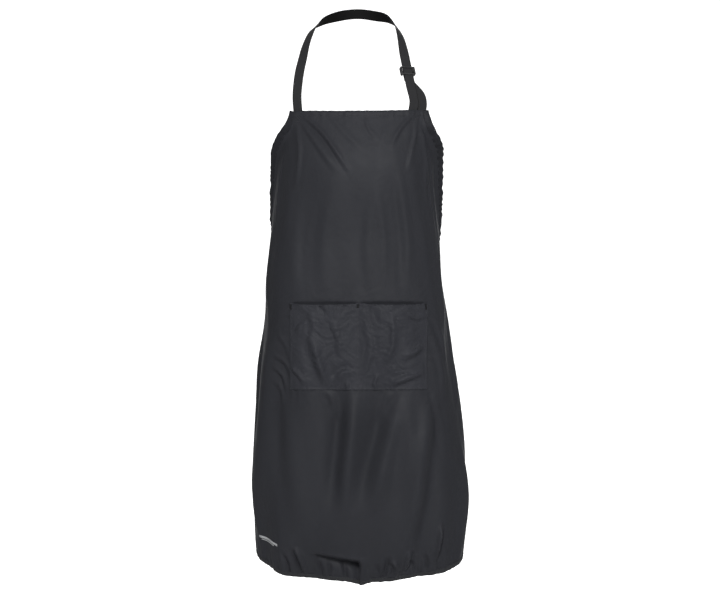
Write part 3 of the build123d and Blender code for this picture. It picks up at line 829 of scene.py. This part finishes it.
def hem_edge(spacing):
    """The edge from the left waist corner down round the hem and up to the right one."""
    rows = np.flatnonzero(body.points[:, 0, 2] < WAIST_Z + 6)
    down = [(row, 0, row, 3) for row in rows]
    across = [(-1, column, -4, column) for column in range(1, LAST_COLUMN)]
    up = [(row, LAST_COLUMN, row, LAST_COLUMN - 3) for row in rows[::-1]]
    return grid_edge(*np.array(down + across + up).T, spacing)


def folded_edge(name, edge, section, material, slot, sway=0.0, reach=0.0, swell=0.0):
    """A strip folded over an edge. Its section is (outboard, height) points all the way round;
    sway moves it across the cloth, reach lengthens it outboard and swell thickens it."""
    section = np.array(section, dtype=float)
    sway, reach, swell = [np.broadcast_to(value, len(edge.points))[:, None]
                          for value in (sway, reach, swell)]
    outness = smooth_step(-6, 7, section[:, 0])
    height = section[:, 1] * (1 + swell) + sway * (0.3 + 0.7 * outness)
    rings = edge.rings(section[:, 0] + reach * outness, height)
    uvs = np.stack(np.broadcast_arrays(edge.travelled[:, None], travelled(section)), -1)
    return swept(name, rings, material, slot, uvs)


CASING_RING = over_and_under([(-6, 0.7), (-4.4, 0.62), (-2, 0.95), (0.5, 1.5), (3, 1.8),
                              (5.5, 1.75), (7.5, 1.3), (8.7, 0.6)], 9.0, -6.1)
BINDING_RING = over_and_under([(-7, 0.62), (-6.6, 0.85), (-5.4, 0.8), (-3, 0.95), (-1, 1.0),
                               (0.8, 0.85), (1.7, 0.5)], 2.1, -7.1)
ELASTIC_RING = np.array(over_and_under([(1.2, 0.5), (2.2, 0.62), (5.8, 0.62), (6.8, 0.5)]))
HEM_RING = [(-1.5, 0.33), (-0.2, 0.42), (0.5, 0.3), (0.9, -0.1), (0.7, -0.6), (-0.4, -0.95),
            (-3, -1.0), (-9.6, -0.98), (-11.0, -0.9), (-11.2, -0.7), (-10.9, -0.45),
            (-9.6, -0.35), (-3, -0.3), (-1.5, -0.2)]


def make_armholes():
    """The gathered casings, the elastic inside them and their stitches."""
    made = []
    lines = []
    for side, label, pull in ((-1, "left", 0.35), (1, "right", 0.5)):
        edge = side_edge(side, -200, WAIST_Z + 8, 1.3)
        z = edge.points[:, 2]
        phase = gather_phase(side, z)
        ends = smooth_step(8, 45, edge.travelled) * smooth_step(0, 12, edge.length - edge.travelled)
        strength = pull * ends * (0.75 + 0.35 * ripple(97 + side, (z, 45), count=3))
        sway = 0.85 * np.sin(phase) * strength
        reach = (0.5 * np.sin(0.5 * phase + 1) + 0.3 * np.sin(phase + 2)) * strength
        reach = reach - 4.5 * np.exp(-edge.travelled / 16.0)
        swell = 0.3 * np.sin(phase + 1.4) * strength
        casing = folded_edge(f"armhole_casing_{label}", edge, CASING_RING, SHADED_NYLON, "casing_cloth",
                             sway, reach, swell)
        made.append(finish_piece(casing, f"armhole_casing_{label}"))
        across, height = ELASTIC_RING.T
        inside = 0.6 * sway[:, None] + height
        rings = edge.rings(np.broadcast_to(across, inside.shape), inside)
        uvs = np.stack(np.broadcast_arrays(edge.travelled[:, None], across), -1)
        elastic = swept(f"armhole_elastic_{label}", rings, ELASTIC, "elastic", uvs)
        made.append(finish_piece(elastic, f"armhole_elastic_{label}"))
        lines.append((edge.place(-4.4, 0.92 + 0.32 * sway), edge.out))
    return [*made, stitches("casing_stitching", lines, pitch=3.0, length=2.3)]


def make_skirt_binding():
    """The narrow tape folded over the skirt's edge, and its stitches."""
    edge = hem_edge(2.0)
    pucker = ripple(41, (edge.travelled, 16), count=5)
    sway = 0.22 * pucker + 0.2 * ripple(43, (edge.travelled, 70), count=4)
    binding = folded_edge("skirt_binding", edge, BINDING_RING, TAPE, "binding_tape", sway,
                          0.35 * pucker, 0.12 * pucker)
    row = edge.place(-5.3, 0.92 + 0.3 * sway), edge.out
    return [finish_piece(binding, "skirt_binding"), stitches("binding_stitching", [row])]


def make_top_hem():
    """The bib's turned top edge, as far as the armhole casings, and its stitches."""
    columns = np.arange(3, LAST_COLUMN - 2)
    edge = grid_edge(0, columns, 3, columns, 1.6)
    pucker = ripple(47, (edge.travelled, 14), count=5)
    hem = folded_edge("top_hem", edge, HEM_RING, BODY, "body_cloth", reach=0.25 * pucker)
    row = edge.place(-9.0, FRONT_FACE + THREAD_LIFT), edge.out
    return [finish_piece(hem, "top_hem"), stitches("top_hem_stitching", [row])]


# Pocket

POCKET_HALVES = (("left", POCKET_LEFT, POCKET_DIVIDER), ("right", POCKET_DIVIDER, POCKET_RIGHT))
POCKET_FULLNESS = 9.5
POCKET_DEPTH = 1.9
SEAM_LIFT = CLOTH + 0.15
STITCH_STEP = 1.5        # spacing of the points that a row of stitches is laid along
POCKET_FOLDS = [
    ([(-97, -650), (-85, -700), (-68, -742)], 4.2, 11.0, 0.85),
    ([(-52, -728), (-34, -710), (-9, -706)], 2.4, 7.5, -0.75),
    ([(60, -742), (90, -729), (124, -718)], 2.8, 8.0, 0.8),
    ([(82, -690), (102, -680), (124, -668)], 2.4, 8, 0.8),
    ([(58, -602), (60, -660), (44, -700)], 2.4, 6, 0.1),
    ([(-134, -704), (-120, -717), (-106, -734)], 2.2, 5, 0.75),
    ([(-121, -634), (-112, -622), (-98, -614)], 1.8, 5, -0.6),
    ([(-96, -600), (-92, -630), (-100, -664)], 1.6, 7, 0.6),
    ([(-78, -582), (-72, -590), (-66, -600)], -2.0, 3.5, 0.0),
    ([(-60, -610), (-44, -650), (-40, -690)], 1.5, 9, 0.6),
    ([(16, -620), (24, -670), (10, -720)], 1.5, 8, -0.6),
    ([(84, -600), (104, -612), (126, -610)], 1.6, 6, 0.6),
    ([(30, -716), (24, -734), (30, -748)], 1.8, 5, 0.7),
    ([(-24, -728), (-20, -738), (-22, -748)], 1.8, 5, -0.7),
]


def on_pocket(x, z, lift=0.0):
    """Points on the pocket's cloth, lift millimetres outside its middle, with its normals."""
    down = np.clip((POCKET_TOP - z) / (POCKET_TOP - POCKET_BOTTOM), 0, 1)
    half = np.where(x < POCKET_DIVIDER, (x - POCKET_LEFT) / (POCKET_DIVIDER - POCKET_LEFT),
                    (x - POCKET_DIVIDER) / (POCKET_RIGHT - POCKET_DIVIDER))
    swell = np.sin(np.pi * np.clip(half, 0, 1))
    free = swell * smooth_step(1.0, 0.8, down)
    fullness = POCKET_FULLNESS * swell ** 1.3 * (1 - down ** 3)
    folds = sum(POCKET_DEPTH * crease(x, z, *fold) for fold in POCKET_FOLDS)
    creases = (0.35 * ripple(59, (x, 34), (z, 60)) + 0.9 * crumple(151, x, z, 34.0)
               + 0.08 * crumple(171, x, z, 15.0))
    seam = np.sin(2 * np.pi * x / 14 + 2.5 * ripple(53, (x, 60), count=3))
    seam = seam * np.exp(-((1 - down) / 0.09) ** 2)
    folds = (folds * smooth_step(0, 0.2, free + 0.12) + creases * smooth_step(0, 0.3, free)
             + 0.45 * seam)
    # Folds that sink are stopped softly by the body cloth behind
    room = np.maximum(fullness, 0.1)
    folds = np.where(folds < 0, -room * (1 - np.exp(np.minimum(folds, 0) / room)), folds)
    sagged = z - 1.6 * swell * (1 - down) ** 2
    base, normals = body.at(angle_at(x, z), sagged,
                            SEAM_LIFT + mouth_hollow(x, sagged) + fullness + folds)
    return base + normals * np.asarray(lift)[..., None], normals


def make_pocket():
    """The pocket's cloth, with its turned sewn edges, and the grid of its middle."""
    x, z = np.meshgrid(np.linspace(POCKET_LEFT, POCKET_RIGHT, 176),
                       np.linspace(POCKET_TOP, POCKET_BOTTOM, 111))
    middle, _ = on_pocket(x, z)
    normals = grid_normals(middle)
    border = np.minimum.reduce([x - POCKET_LEFT, POCKET_RIGHT - x, z - POCKET_BOTTOM])
    turned = 0.9 * smooth_step(4.2, 1.2, border) * smooth_step(-0.6, 1.0, border)
    outer = middle + normals * (FRONT_FACE + turned)[..., None]
    panel = slab("pocket_panel", outer, middle - normals * FRONT_FACE, POCKET_CLOTH, "body_cloth",
                 np.stack([x, z], -1))
    return finish_piece(panel, "pocket_panel"), middle


def make_pocket_hems():
    """The turned top edge of each half of the pocket."""
    made = []
    section = np.array(HEM_RING)
    section[:, 0] = np.where(section[:, 0] < -9, section[:, 0] - 2.6, section[:, 0])
    for label, left, right in POCKET_HALVES:
        x = np.linspace(left + 7, right - 7, 90)
        top, normals = on_pocket(x, np.full_like(x, POCKET_TOP))
        inner, _ = on_pocket(x, np.full_like(x, POCKET_TOP - 6))
        hem = folded_edge(f"pocket_hem_{label}", Edge(top, normals, inner, 1.4), section,
                          POCKET_CLOTH, "body_cloth")
        made.append(finish_piece(hem, "pocket_hem"))
    return made


def pocket_line(start, end, spacing=STITCH_STEP, lift=THREAD_LIFT):
    """A line of points and normals on the pocket's outside from one (x, z) to another."""
    count = max(3, int(np.hypot(end[0] - start[0], end[1] - start[1]) / spacing))
    x, z = np.linspace(start, end, count).T
    return on_pocket(x, z, FRONT_FACE + lift)


def make_pocket_sewing():
    """Seams round the pocket, its divider and its hem, and the bar tacks at its mouth."""
    inset = 2.8
    left = POCKET_LEFT + inset
    right = POCKET_RIGHT - inset
    low = POCKET_BOTTOM + inset
    high = POCKET_TOP - 3
    divider = POCKET_DIVIDER - 1.1
    hem_line = POCKET_TOP - 12.5
    lines = [pocket_line(start, end, lift=0.6)
             for start, end in (((left, high), (left, low)), ((left + 1, low), (right - 1, low)),
                                ((right, low), (right, high)))]
    lines += [pocket_line((divider, high), (divider, low)),
              pocket_line((left + 2, hem_line), (POCKET_DIVIDER - 3, hem_line)),
              pocket_line((POCKET_DIVIDER + 3, hem_line), (right - 2, hem_line))]
    tacks = []
    tack_top = POCKET_TOP - 1.8
    for middle, tall in ((left, 11), (POCKET_DIVIDER, 7), (right, 11)):
        for z in np.arange(tack_top, tack_top - tall, -0.62):
            tacks.append(pocket_line((middle - 1.5, z), (middle + 1.5, z), 0.9, 0.75))
    return [stitches("pocket_stitching", lines),
            stitches("bar_tacks", tacks, material=TACK_THREAD, pitch=2.9, length=2.9, width=0.75,
                     height=0.9)]


# Neck webbing

BEHIND_HEM = -3.1
SEWN_HEIGHTS = np.array([-214.0, -218.0, -224.0, -230.0, -236.0])
NECK_LEFT_X = -120.0
NECK_RIGHT_X = 103.0
RETURN_X = 119.0
RUN_LOW = np.array([99.0, -122.0, -165.0])
RUN_HIGH = np.array([86.5, -90.0, -95.0])
RUN_FACING = unit(np.array([0.296, -0.848, 0.440]))


def sewn_end(x):
    """Points and facings of webbing that lies behind the top hem at x, from the top down."""
    angles = angle_at(np.full(5, x), SEWN_HEIGHTS)
    points, _ = body.at(angles, SEWN_HEIGHTS, BEHIND_HEM)
    return points, level_facing(angles, SEWN_HEIGHTS)


def make_neck_strap():
    """The webbing from the bib's left corner, round the nape and down its right-hand run."""
    left_points, left_facings = sewn_end(NECK_LEFT_X)
    right_points, right_facings = sewn_end(NECK_RIGHT_X)
    worn = np.array([
        (-121.5, -130, -180, -0.45, -0.88, 0.1), (-118, -118, -139, -0.38, -0.9, 0.2),
        (-111.5, -104, -105, -0.42, -0.8, 0.35), (-105, -86, -74, -0.52, -0.55, 0.6),
        (-94, -58, -42, -0.6, -0.3, 0.74), (-80, -40, -26, -0.5, 0.4, 0.76),
        (-63, -27, -15, -0.42, 0.62, 0.5), (-31, -7, -3.5, -0.18, 0.96, 0.15),
        (0, 0.5, 0, 0, 1, 0.05), (30, -3, -4.5, 0.2, 0.95, 0.2), (55, -14, -12, 0.5, 0.55, 0.6),
        (71, -34, -29, 0.72, 0, 0.68), (80, -60, -55, 0.62, -0.5, 0.58)])
    run = RUN_HIGH + (RUN_LOW - RUN_HIGH) * np.linspace(0, 1, 8)[:, None]
    route = np.vstack([left_points[::-1], worn[:, :3], run, [(104.0, -134, -192)], right_points])
    facings = np.vstack([left_facings[::-1], worn[:, 3:], np.tile(RUN_FACING, (8, 1)),
                         [(0.42, -0.86, 0.25)], right_facings])
    finish_piece(webbing("neck_strap", route, facings), "neck_strap")


# Slider, in a frame of its own: side, up the webbing, and depth towards the wearer

RUN_UP = unit(RUN_HIGH - RUN_LOW)
TOWARDS_WEARER = -unit(np.cross(RUN_UP, np.cross(RUN_FACING, RUN_UP)))
RUN_SIDE = np.cross(RUN_UP, TOWARDS_WEARER)
SLIDER_MIDDLE = (RUN_HIGH + RUN_LOW) / 2


def slider_point(side, up, depth):
    side, up, depth = np.broadcast_arrays(side, up, depth)
    return (SLIDER_MIDDLE + side[..., None] * RUN_SIDE + up[..., None] * RUN_UP
            + depth[..., None] * TOWARDS_WEARER)


def make_slider_grip():
    """Fine ribs across the faces of the slider's end bars, for a thumb to push on."""
    turns = np.linspace(0, np.pi, 7)
    sides = np.linspace(-11.5, 11.5, 14)[:, None]
    rise = 0.3 * np.cos(turns) * np.minimum(1.0, (12.2 - np.abs(sides)) / 1.6)
    depth = -2.78 - 0.34 * np.sin(turns) * np.minimum(1.0, (12.2 - np.abs(sides)) / 1.6)
    ribs = [tube_shell(slider_point(sides, up + rise, depth))
            for up in (-8.3, -7.6, -6.9, 6.9, 7.6, 8.3)]
    grip = make_object("slider_grip", *joined(ribs), PLASTIC, "slider_plastic")
    finish_piece(grip, on="slider")


def make_strap_end_loop():
    """The webbing's end, folded over the centre bar and sewn back to itself below it."""
    front, sewn, radius = 1.25, 2.45, 1.75
    back = front + 2 * radius
    bend = [(0.9 + radius * np.sin(np.pi * s), front + radius * (1 - np.cos(np.pi * s)))
            for s in np.linspace(0, 1, 9)]
    line = [(-14.0, front), (-7.0, front), *bend, (-2.0, back), (-5.0, back - 0.5),
            (-8.0, sewn + 0.8), (-11.0, sewn + 0.1), (-14.0, sewn), (-18.0, sewn),
            (-22.0, sewn + 0.2)]
    line, _ = evenly(spline_through(line, 6), 0.6)
    points = slider_point(0.0, line[:, 0], line[:, 1])
    facings = np.cross(unit(np.gradient(points, axis=0)), RUN_SIDE)
    loop = strap("strap_end_loop", *webbing_rings(points, facings, thickness=1.0))
    finish_piece(loop, "strap_end_loop", on="slider")
    side = np.linspace(-7.5, 7.5, 12)
    rows = [(slider_point(side, up, sewn + 0.62), np.tile(TOWARDS_WEARER, (12, 1)))
            for up in (-13.0, -16.5)]
    stitches("end_loop_stitching", rows, on="slider", pitch=2.4, length=1.9)


def make_strap_return():
    """The webbing's way back, from the slider's end loop down through `still` to the bib's right
    corner."""
    still = (120.5, -122, -194)
    start = slider_point(0.0, -23.2, 2.75)
    low_points, low_facings = sewn_end(RETURN_X)
    route = np.vstack([start, start + (4.6, -2.2, -6.0), (117.0, -114, -176), still, low_points])
    facings = np.vstack([RUN_FACING, RUN_FACING, (0.42, -0.82, 0.38), (0.40, -0.89, 0.2),
                         low_facings])
    band = webbing("strap_return", route, facings, thickness=1.0)
    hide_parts("strap_return")
    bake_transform(band)


def make_keeper():
    """A patch behind the bib's right corner, in which the webbing turns back up."""
    high = -222.0
    low = -241.0
    across, z = np.meshgrid(np.linspace(0, 1, 30), np.linspace(high, low, 14))
    right_angle = side_angle(z) - 3.0
    left_angle = angle_at(NECK_RIGHT_X - 13.0, z)
    angle = left_angle + (right_angle - left_angle) * across
    border = np.minimum.reduce([across, 1 - across, (high - z) / (high - low), (z - low) / (high - low)])
    rolled = 0.35 * (1 - smooth_step(0, 0.12, border))
    middle, normals = body.at(angle, z, BEHIND_HEM - 1.35 + 0.2 * ripple(61, (angle, 8), (z, 12)))
    half = normals * (0.28 + rolled[..., None])
    patch = slab("webbing_keeper", middle + half, middle - half, SHADED_NYLON, "body_cloth",
                 np.stack([angle * 2.5, z], -1))
    return finish_piece(patch, "webbing_keeper")


def cloth_line(start, end):
    """A line on the body cloth's outside between two (angle, z) places."""
    reach = np.hypot((end[0] - start[0]) * ROUND, end[1] - start[1])
    angle, z = np.linspace(start, end, max(4, int(reach / STITCH_STEP))).T
    return body.at(angle, z, FRONT_FACE + THREAD_LIFT)


def make_strap_sewing():
    """A crossed box of stitches on the outside of the bib at each end of the neck webbing."""
    made = []
    half, high, low = 6.8, -215.8, -232.5
    for label, x in (("left", NECK_LEFT_X), ("right", NECK_RIGHT_X)):
        corners = [(float(angle_at(x + aside, z)), z)
                   for aside, z in ((-half, high), (half, high), (half, low), (-half, low))]
        lines = [cloth_line(corners[i], corners[j])
                 for i, j in ((0, 1), (1, 2), (3, 2), (0, 3), (0, 2), (1, 3))]
        made.append(stitches(f"strap_stitching_{label}", lines, pitch=2.8, length=2.2))
    return made


# Waist webbing, tied at the back

TIE_Z = WAIST_Z - 2.0


def make_waist_ties():
    """Webbing from each waist corner to the knot, and the rows that sew it on."""
    made = []
    start, end = 103.0, 173.5
    share = np.linspace(0, 1, 40)
    z = TIE_Z - 3.0 * share ** 2
    for label, side in (("left", -1), ("right", 1)):
        angle = side * (start + (end - start) * share)
        facings = level_facing(angle, z)
        points = worn_form(angle, z) - facings * 2.9
        slack = 1.2 * ripple(67 + side, (share * 180, 95), count=3) * smooth_step(0.1, 0.4, share)
        points[:, 2] += slack
        finish_piece(webbing(f"waist_tie_{label}", points, facings), f"waist_tie_{label}")
        rows = [cloth_line((side * (start + 1), TIE_Z + rise), (side * (start + 5), TIE_Z + rise))
                for rise in (8, 4, -4, -8)]
        made.append(stitches(f"tie_stitching_{label}", rows, pitch=2.8, length=2.2))
    return made


def pinched_strap(name, route, looks, narrowest, reach, both_ends=False):
    """Webbing that the knot pinches where it starts, and where it ends if both_ends."""
    points, facings, gone = strap_run(route, looks, 1.6)
    if both_ends:
        gone = np.minimum(gone, gone[-1] - gone)
    widths = narrowest + (1 - narrowest) * smooth_step(4, reach, gone)
    finish_piece(strap(name, *webbing_rings(points, facings, widths=widths)))


def make_waist_bow():
    """The bow at the small of the back: a wrapped knot, two loops and two ends."""
    knot = worn_form(np.array(180.0), np.array(TIE_Z)) + (0, 5.5, -4.0)
    loop_looks = np.array([(-0.2, 1, 0), (-0.2, 1, 0), (-0.05, 1, 0), (0, 1, 0), (0.4, 0.9, 0),
                           (1, 0, 0), (0.4, -0.9, 0), (0, -1, 0), (0, -1, 0), (0.05, -1, 0),
                           (0.05, -1, 0)])
    tail_looks = np.array([(0.15, 1, 0), (0.22, 1, 0), (0.1, 1, 0), (0.2, 1, 0), (0.05, 1, 0),
                           (0.15, 1, 0)])
    for side, label, droop, reach, length in ((-1, "left", 20.0, 92.0, 175.0),
                                              (1, "right", 26.0, 86.0, 195.0)):
        mirror = (side, 1, 1)
        loop = np.array([(3, 2, 0), (22, 6, -0.04), (45, 9, -0.2), (70, 10, -0.55),
                         (reach, 6, -0.9), (reach + 5, 0, -1.0), (reach - 2, -4.5, -0.9),
                         (68, -4.5, -0.6), (42, -4, -0.25), (20, -2.5, -0.05), (3, -1, 0)])
        pinched_strap(f"bow_loop_{label}", knot + loop * (side, 1, droop), loop_looks * mirror,
                      0.62, 30, both_ends=True)
        tail = np.array([(3, 1, -4), (8, 2.5, -22), (12, 3.5, -50), (15, 2.0, -90),
                         (18, 3.2, -140), (20, 2, -length)])
        pinched_strap(f"bow_tail_{label}", knot + tail * mirror, tail_looks * mirror, 0.6, 26)
    turns = np.linspace(0, 2 * np.pi, 60)
    wrap = np.stack([2.0 * np.sin(turns), 6.2 * np.cos(turns), 12.2 * np.sin(turns)], -1) + knot
    looks = np.stack([0 * turns, 1.6 * np.cos(turns), np.sin(turns)], -1)
    even, _ = evenly(np.hstack([wrap, looks]), 0.8)
    middle = even[:, :3]
    out = unit(even[:, 3:])
    rings, uvs = webbing_rings(middle, out, width=24.0)
    # The wrap's middle is drawn in and its edges fold over, as webbing does when pulled tight
    shares = np.abs(rings[..., 0] - middle[:, None, 0]) / 12.0
    rings = rings - out[:, None] * (2.6 * shares ** 2)[..., None]
    finish_piece(strap("bow_knot", rings, uvs), "waist_bow")
    share = np.linspace(-1, 1, 25)[:, None]
    turns = np.linspace(0, 2 * np.pi, 28, endpoint=False)
    size = np.sqrt(np.maximum(0.02, 1 - (0.93 * share) ** 2))
    size = size * (1 + 0.1 * np.sin(3 * turns + 5 * share) + 0.06 * np.sin(7 * turns - 9 * share))
    core = np.stack([13.5 * share + 0 * turns, 5.0 * size * np.cos(turns),
                     10.5 * size * np.sin(turns)], -1) + knot
    finish_piece(swept("bow_core", core, WEBBING, "webbing", core[..., [0, 2]]))


def make_print_mark():
    """Plain printed bars low on the wearer's right, with nothing written in them."""
    bars = []
    for high, height, left, right in ((-1032.0, 4.4, -196.0, -158.0),
                                      (-1038.6, 1.7, -193.0, -166.0)):
        x, z = np.meshgrid(np.linspace(left, right, 24), np.linspace(high, high - height, 5))
        z = z - 0.30 * (x - left)
        outer, _ = body.at(angle_at(x, z), z, FRONT_FACE + 0.16)
        inner, _ = body.at(angle_at(x, z), z, FRONT_FACE - 0.1)
        bars.append(sheet_shell(outer, inner))
    return finish_piece(make_object("print_mark", *joined(bars), INK, "print_ink"), "print_mark")


body_cloth = make_body_cloth()
trims = [*make_armholes(), *make_skirt_binding(), *make_top_hem()]
pocket, pocket_points = make_pocket()
pocket_trims = [*make_pocket_hems(), *make_pocket_sewing()]
make_neck_strap()
make_slider_grip()
make_strap_end_loop()
make_strap_return()
trims += [make_keeper(), *make_strap_sewing(), *make_waist_ties()]
make_waist_bow()
trims.append(make_print_mark())


# A line across the body cloth at the hips


HIP_Z = -860.0           # the body cloth is widest here, just inside its side edges
hip_line, _ = body.at(np.linspace(-118.5, 118.5, 300), np.full(300, HIP_Z))


# Stage, light and camera

def add_stage():
    """A pale floor, and a bright backdrop that curves up from it behind the apron."""
    floor_z = -1.75
    bend = 1.6
    back_y = 4.0
    curve = [(back_y - bend + bend * np.sin(turn), floor_z + bend * (1 - np.cos(turn)) + 0.002)
             for turn in np.linspace(0, np.pi / 2, 17)]
    for name, half_width, profile, glow in (("floor", 6.0, [(-6.0, floor_z), (6.0, floor_z)], 0.0),
                                            ("backdrop", 1.9, [*curve, (back_y, 2.402)], 0.9)):
        material, _, _ = new_material(f"{name}_paint", [
            ("Base Color", (0.72, 0.72, 0.72, 1)), ("Roughness", 0.9),
            ("Emission Color", (1, 1, 1, 1)), ("Emission Strength", glow)])
        vertices = [(x, y, z) for y, z in profile for x in (-half_width, half_width)]
        faces = [(2 * i, 2 * i + 1, 2 * i + 3, 2 * i + 2) for i in range(len(profile) - 1)]
        add_mesh(name, vertices, faces, material)


def add_light(name, place, size, watts):
    """A rectangular area light that looks at the middle of the apron."""
    light = bpy.data.lights.new(name, "AREA")
    light.shape = "RECTANGLE"
    light.size, light.size_y = size
    light.energy = watts
    lamp = add_object(name, light)
    lamp.location = place
    target = add_object(name + "_aim", None)
    target.location = (0, -0.1, -0.6)
    aim = lamp.constraints.new("TRACK_TO")
    aim.target = target
    aim.track_axis = "TRACK_NEGATIVE_Z"
    aim.up_axis = "UP_Y"


def add_lights_and_camera():
    world = bpy.data.worlds.new("studio")
    world.use_nodes = True
    background = world.node_tree.nodes["Background"]
    background.inputs[0].default_value = (1, 1, 1, 1)
    background.inputs[1].default_value = 0.25
    bpy.context.scene.world = world
    add_light("key", (0.42, -3.15, 0.65), (1.9, 1.0), 99)
    add_light("left", (-2.5, -1.5, 0.9), (0.9, 1.8), 16)
    add_light("right", (2.5, -1.4, 0.8), (0.9, 1.8), 13)
    add_light("back", (0.5, 3.3, 0.9), (1.4, 1.4), 60)
    camera = bpy.data.cameras.new("camera")
    camera.lens = 79.0
    camera.sensor_width = 36.0
    holder = add_object("camera", camera)
    holder.location = (0, -3.178, -0.575)
    holder.rotation_euler = (radians(90), 0, 0)
    bpy.context.scene.camera = holder
    bpy.context.scene.view_settings.view_transform = "Standard"


add_stage()
add_lights_and_camera()

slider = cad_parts["slider_frame"]
slider.data.materials.clear()
slider.data.materials.append(PLASTIC)
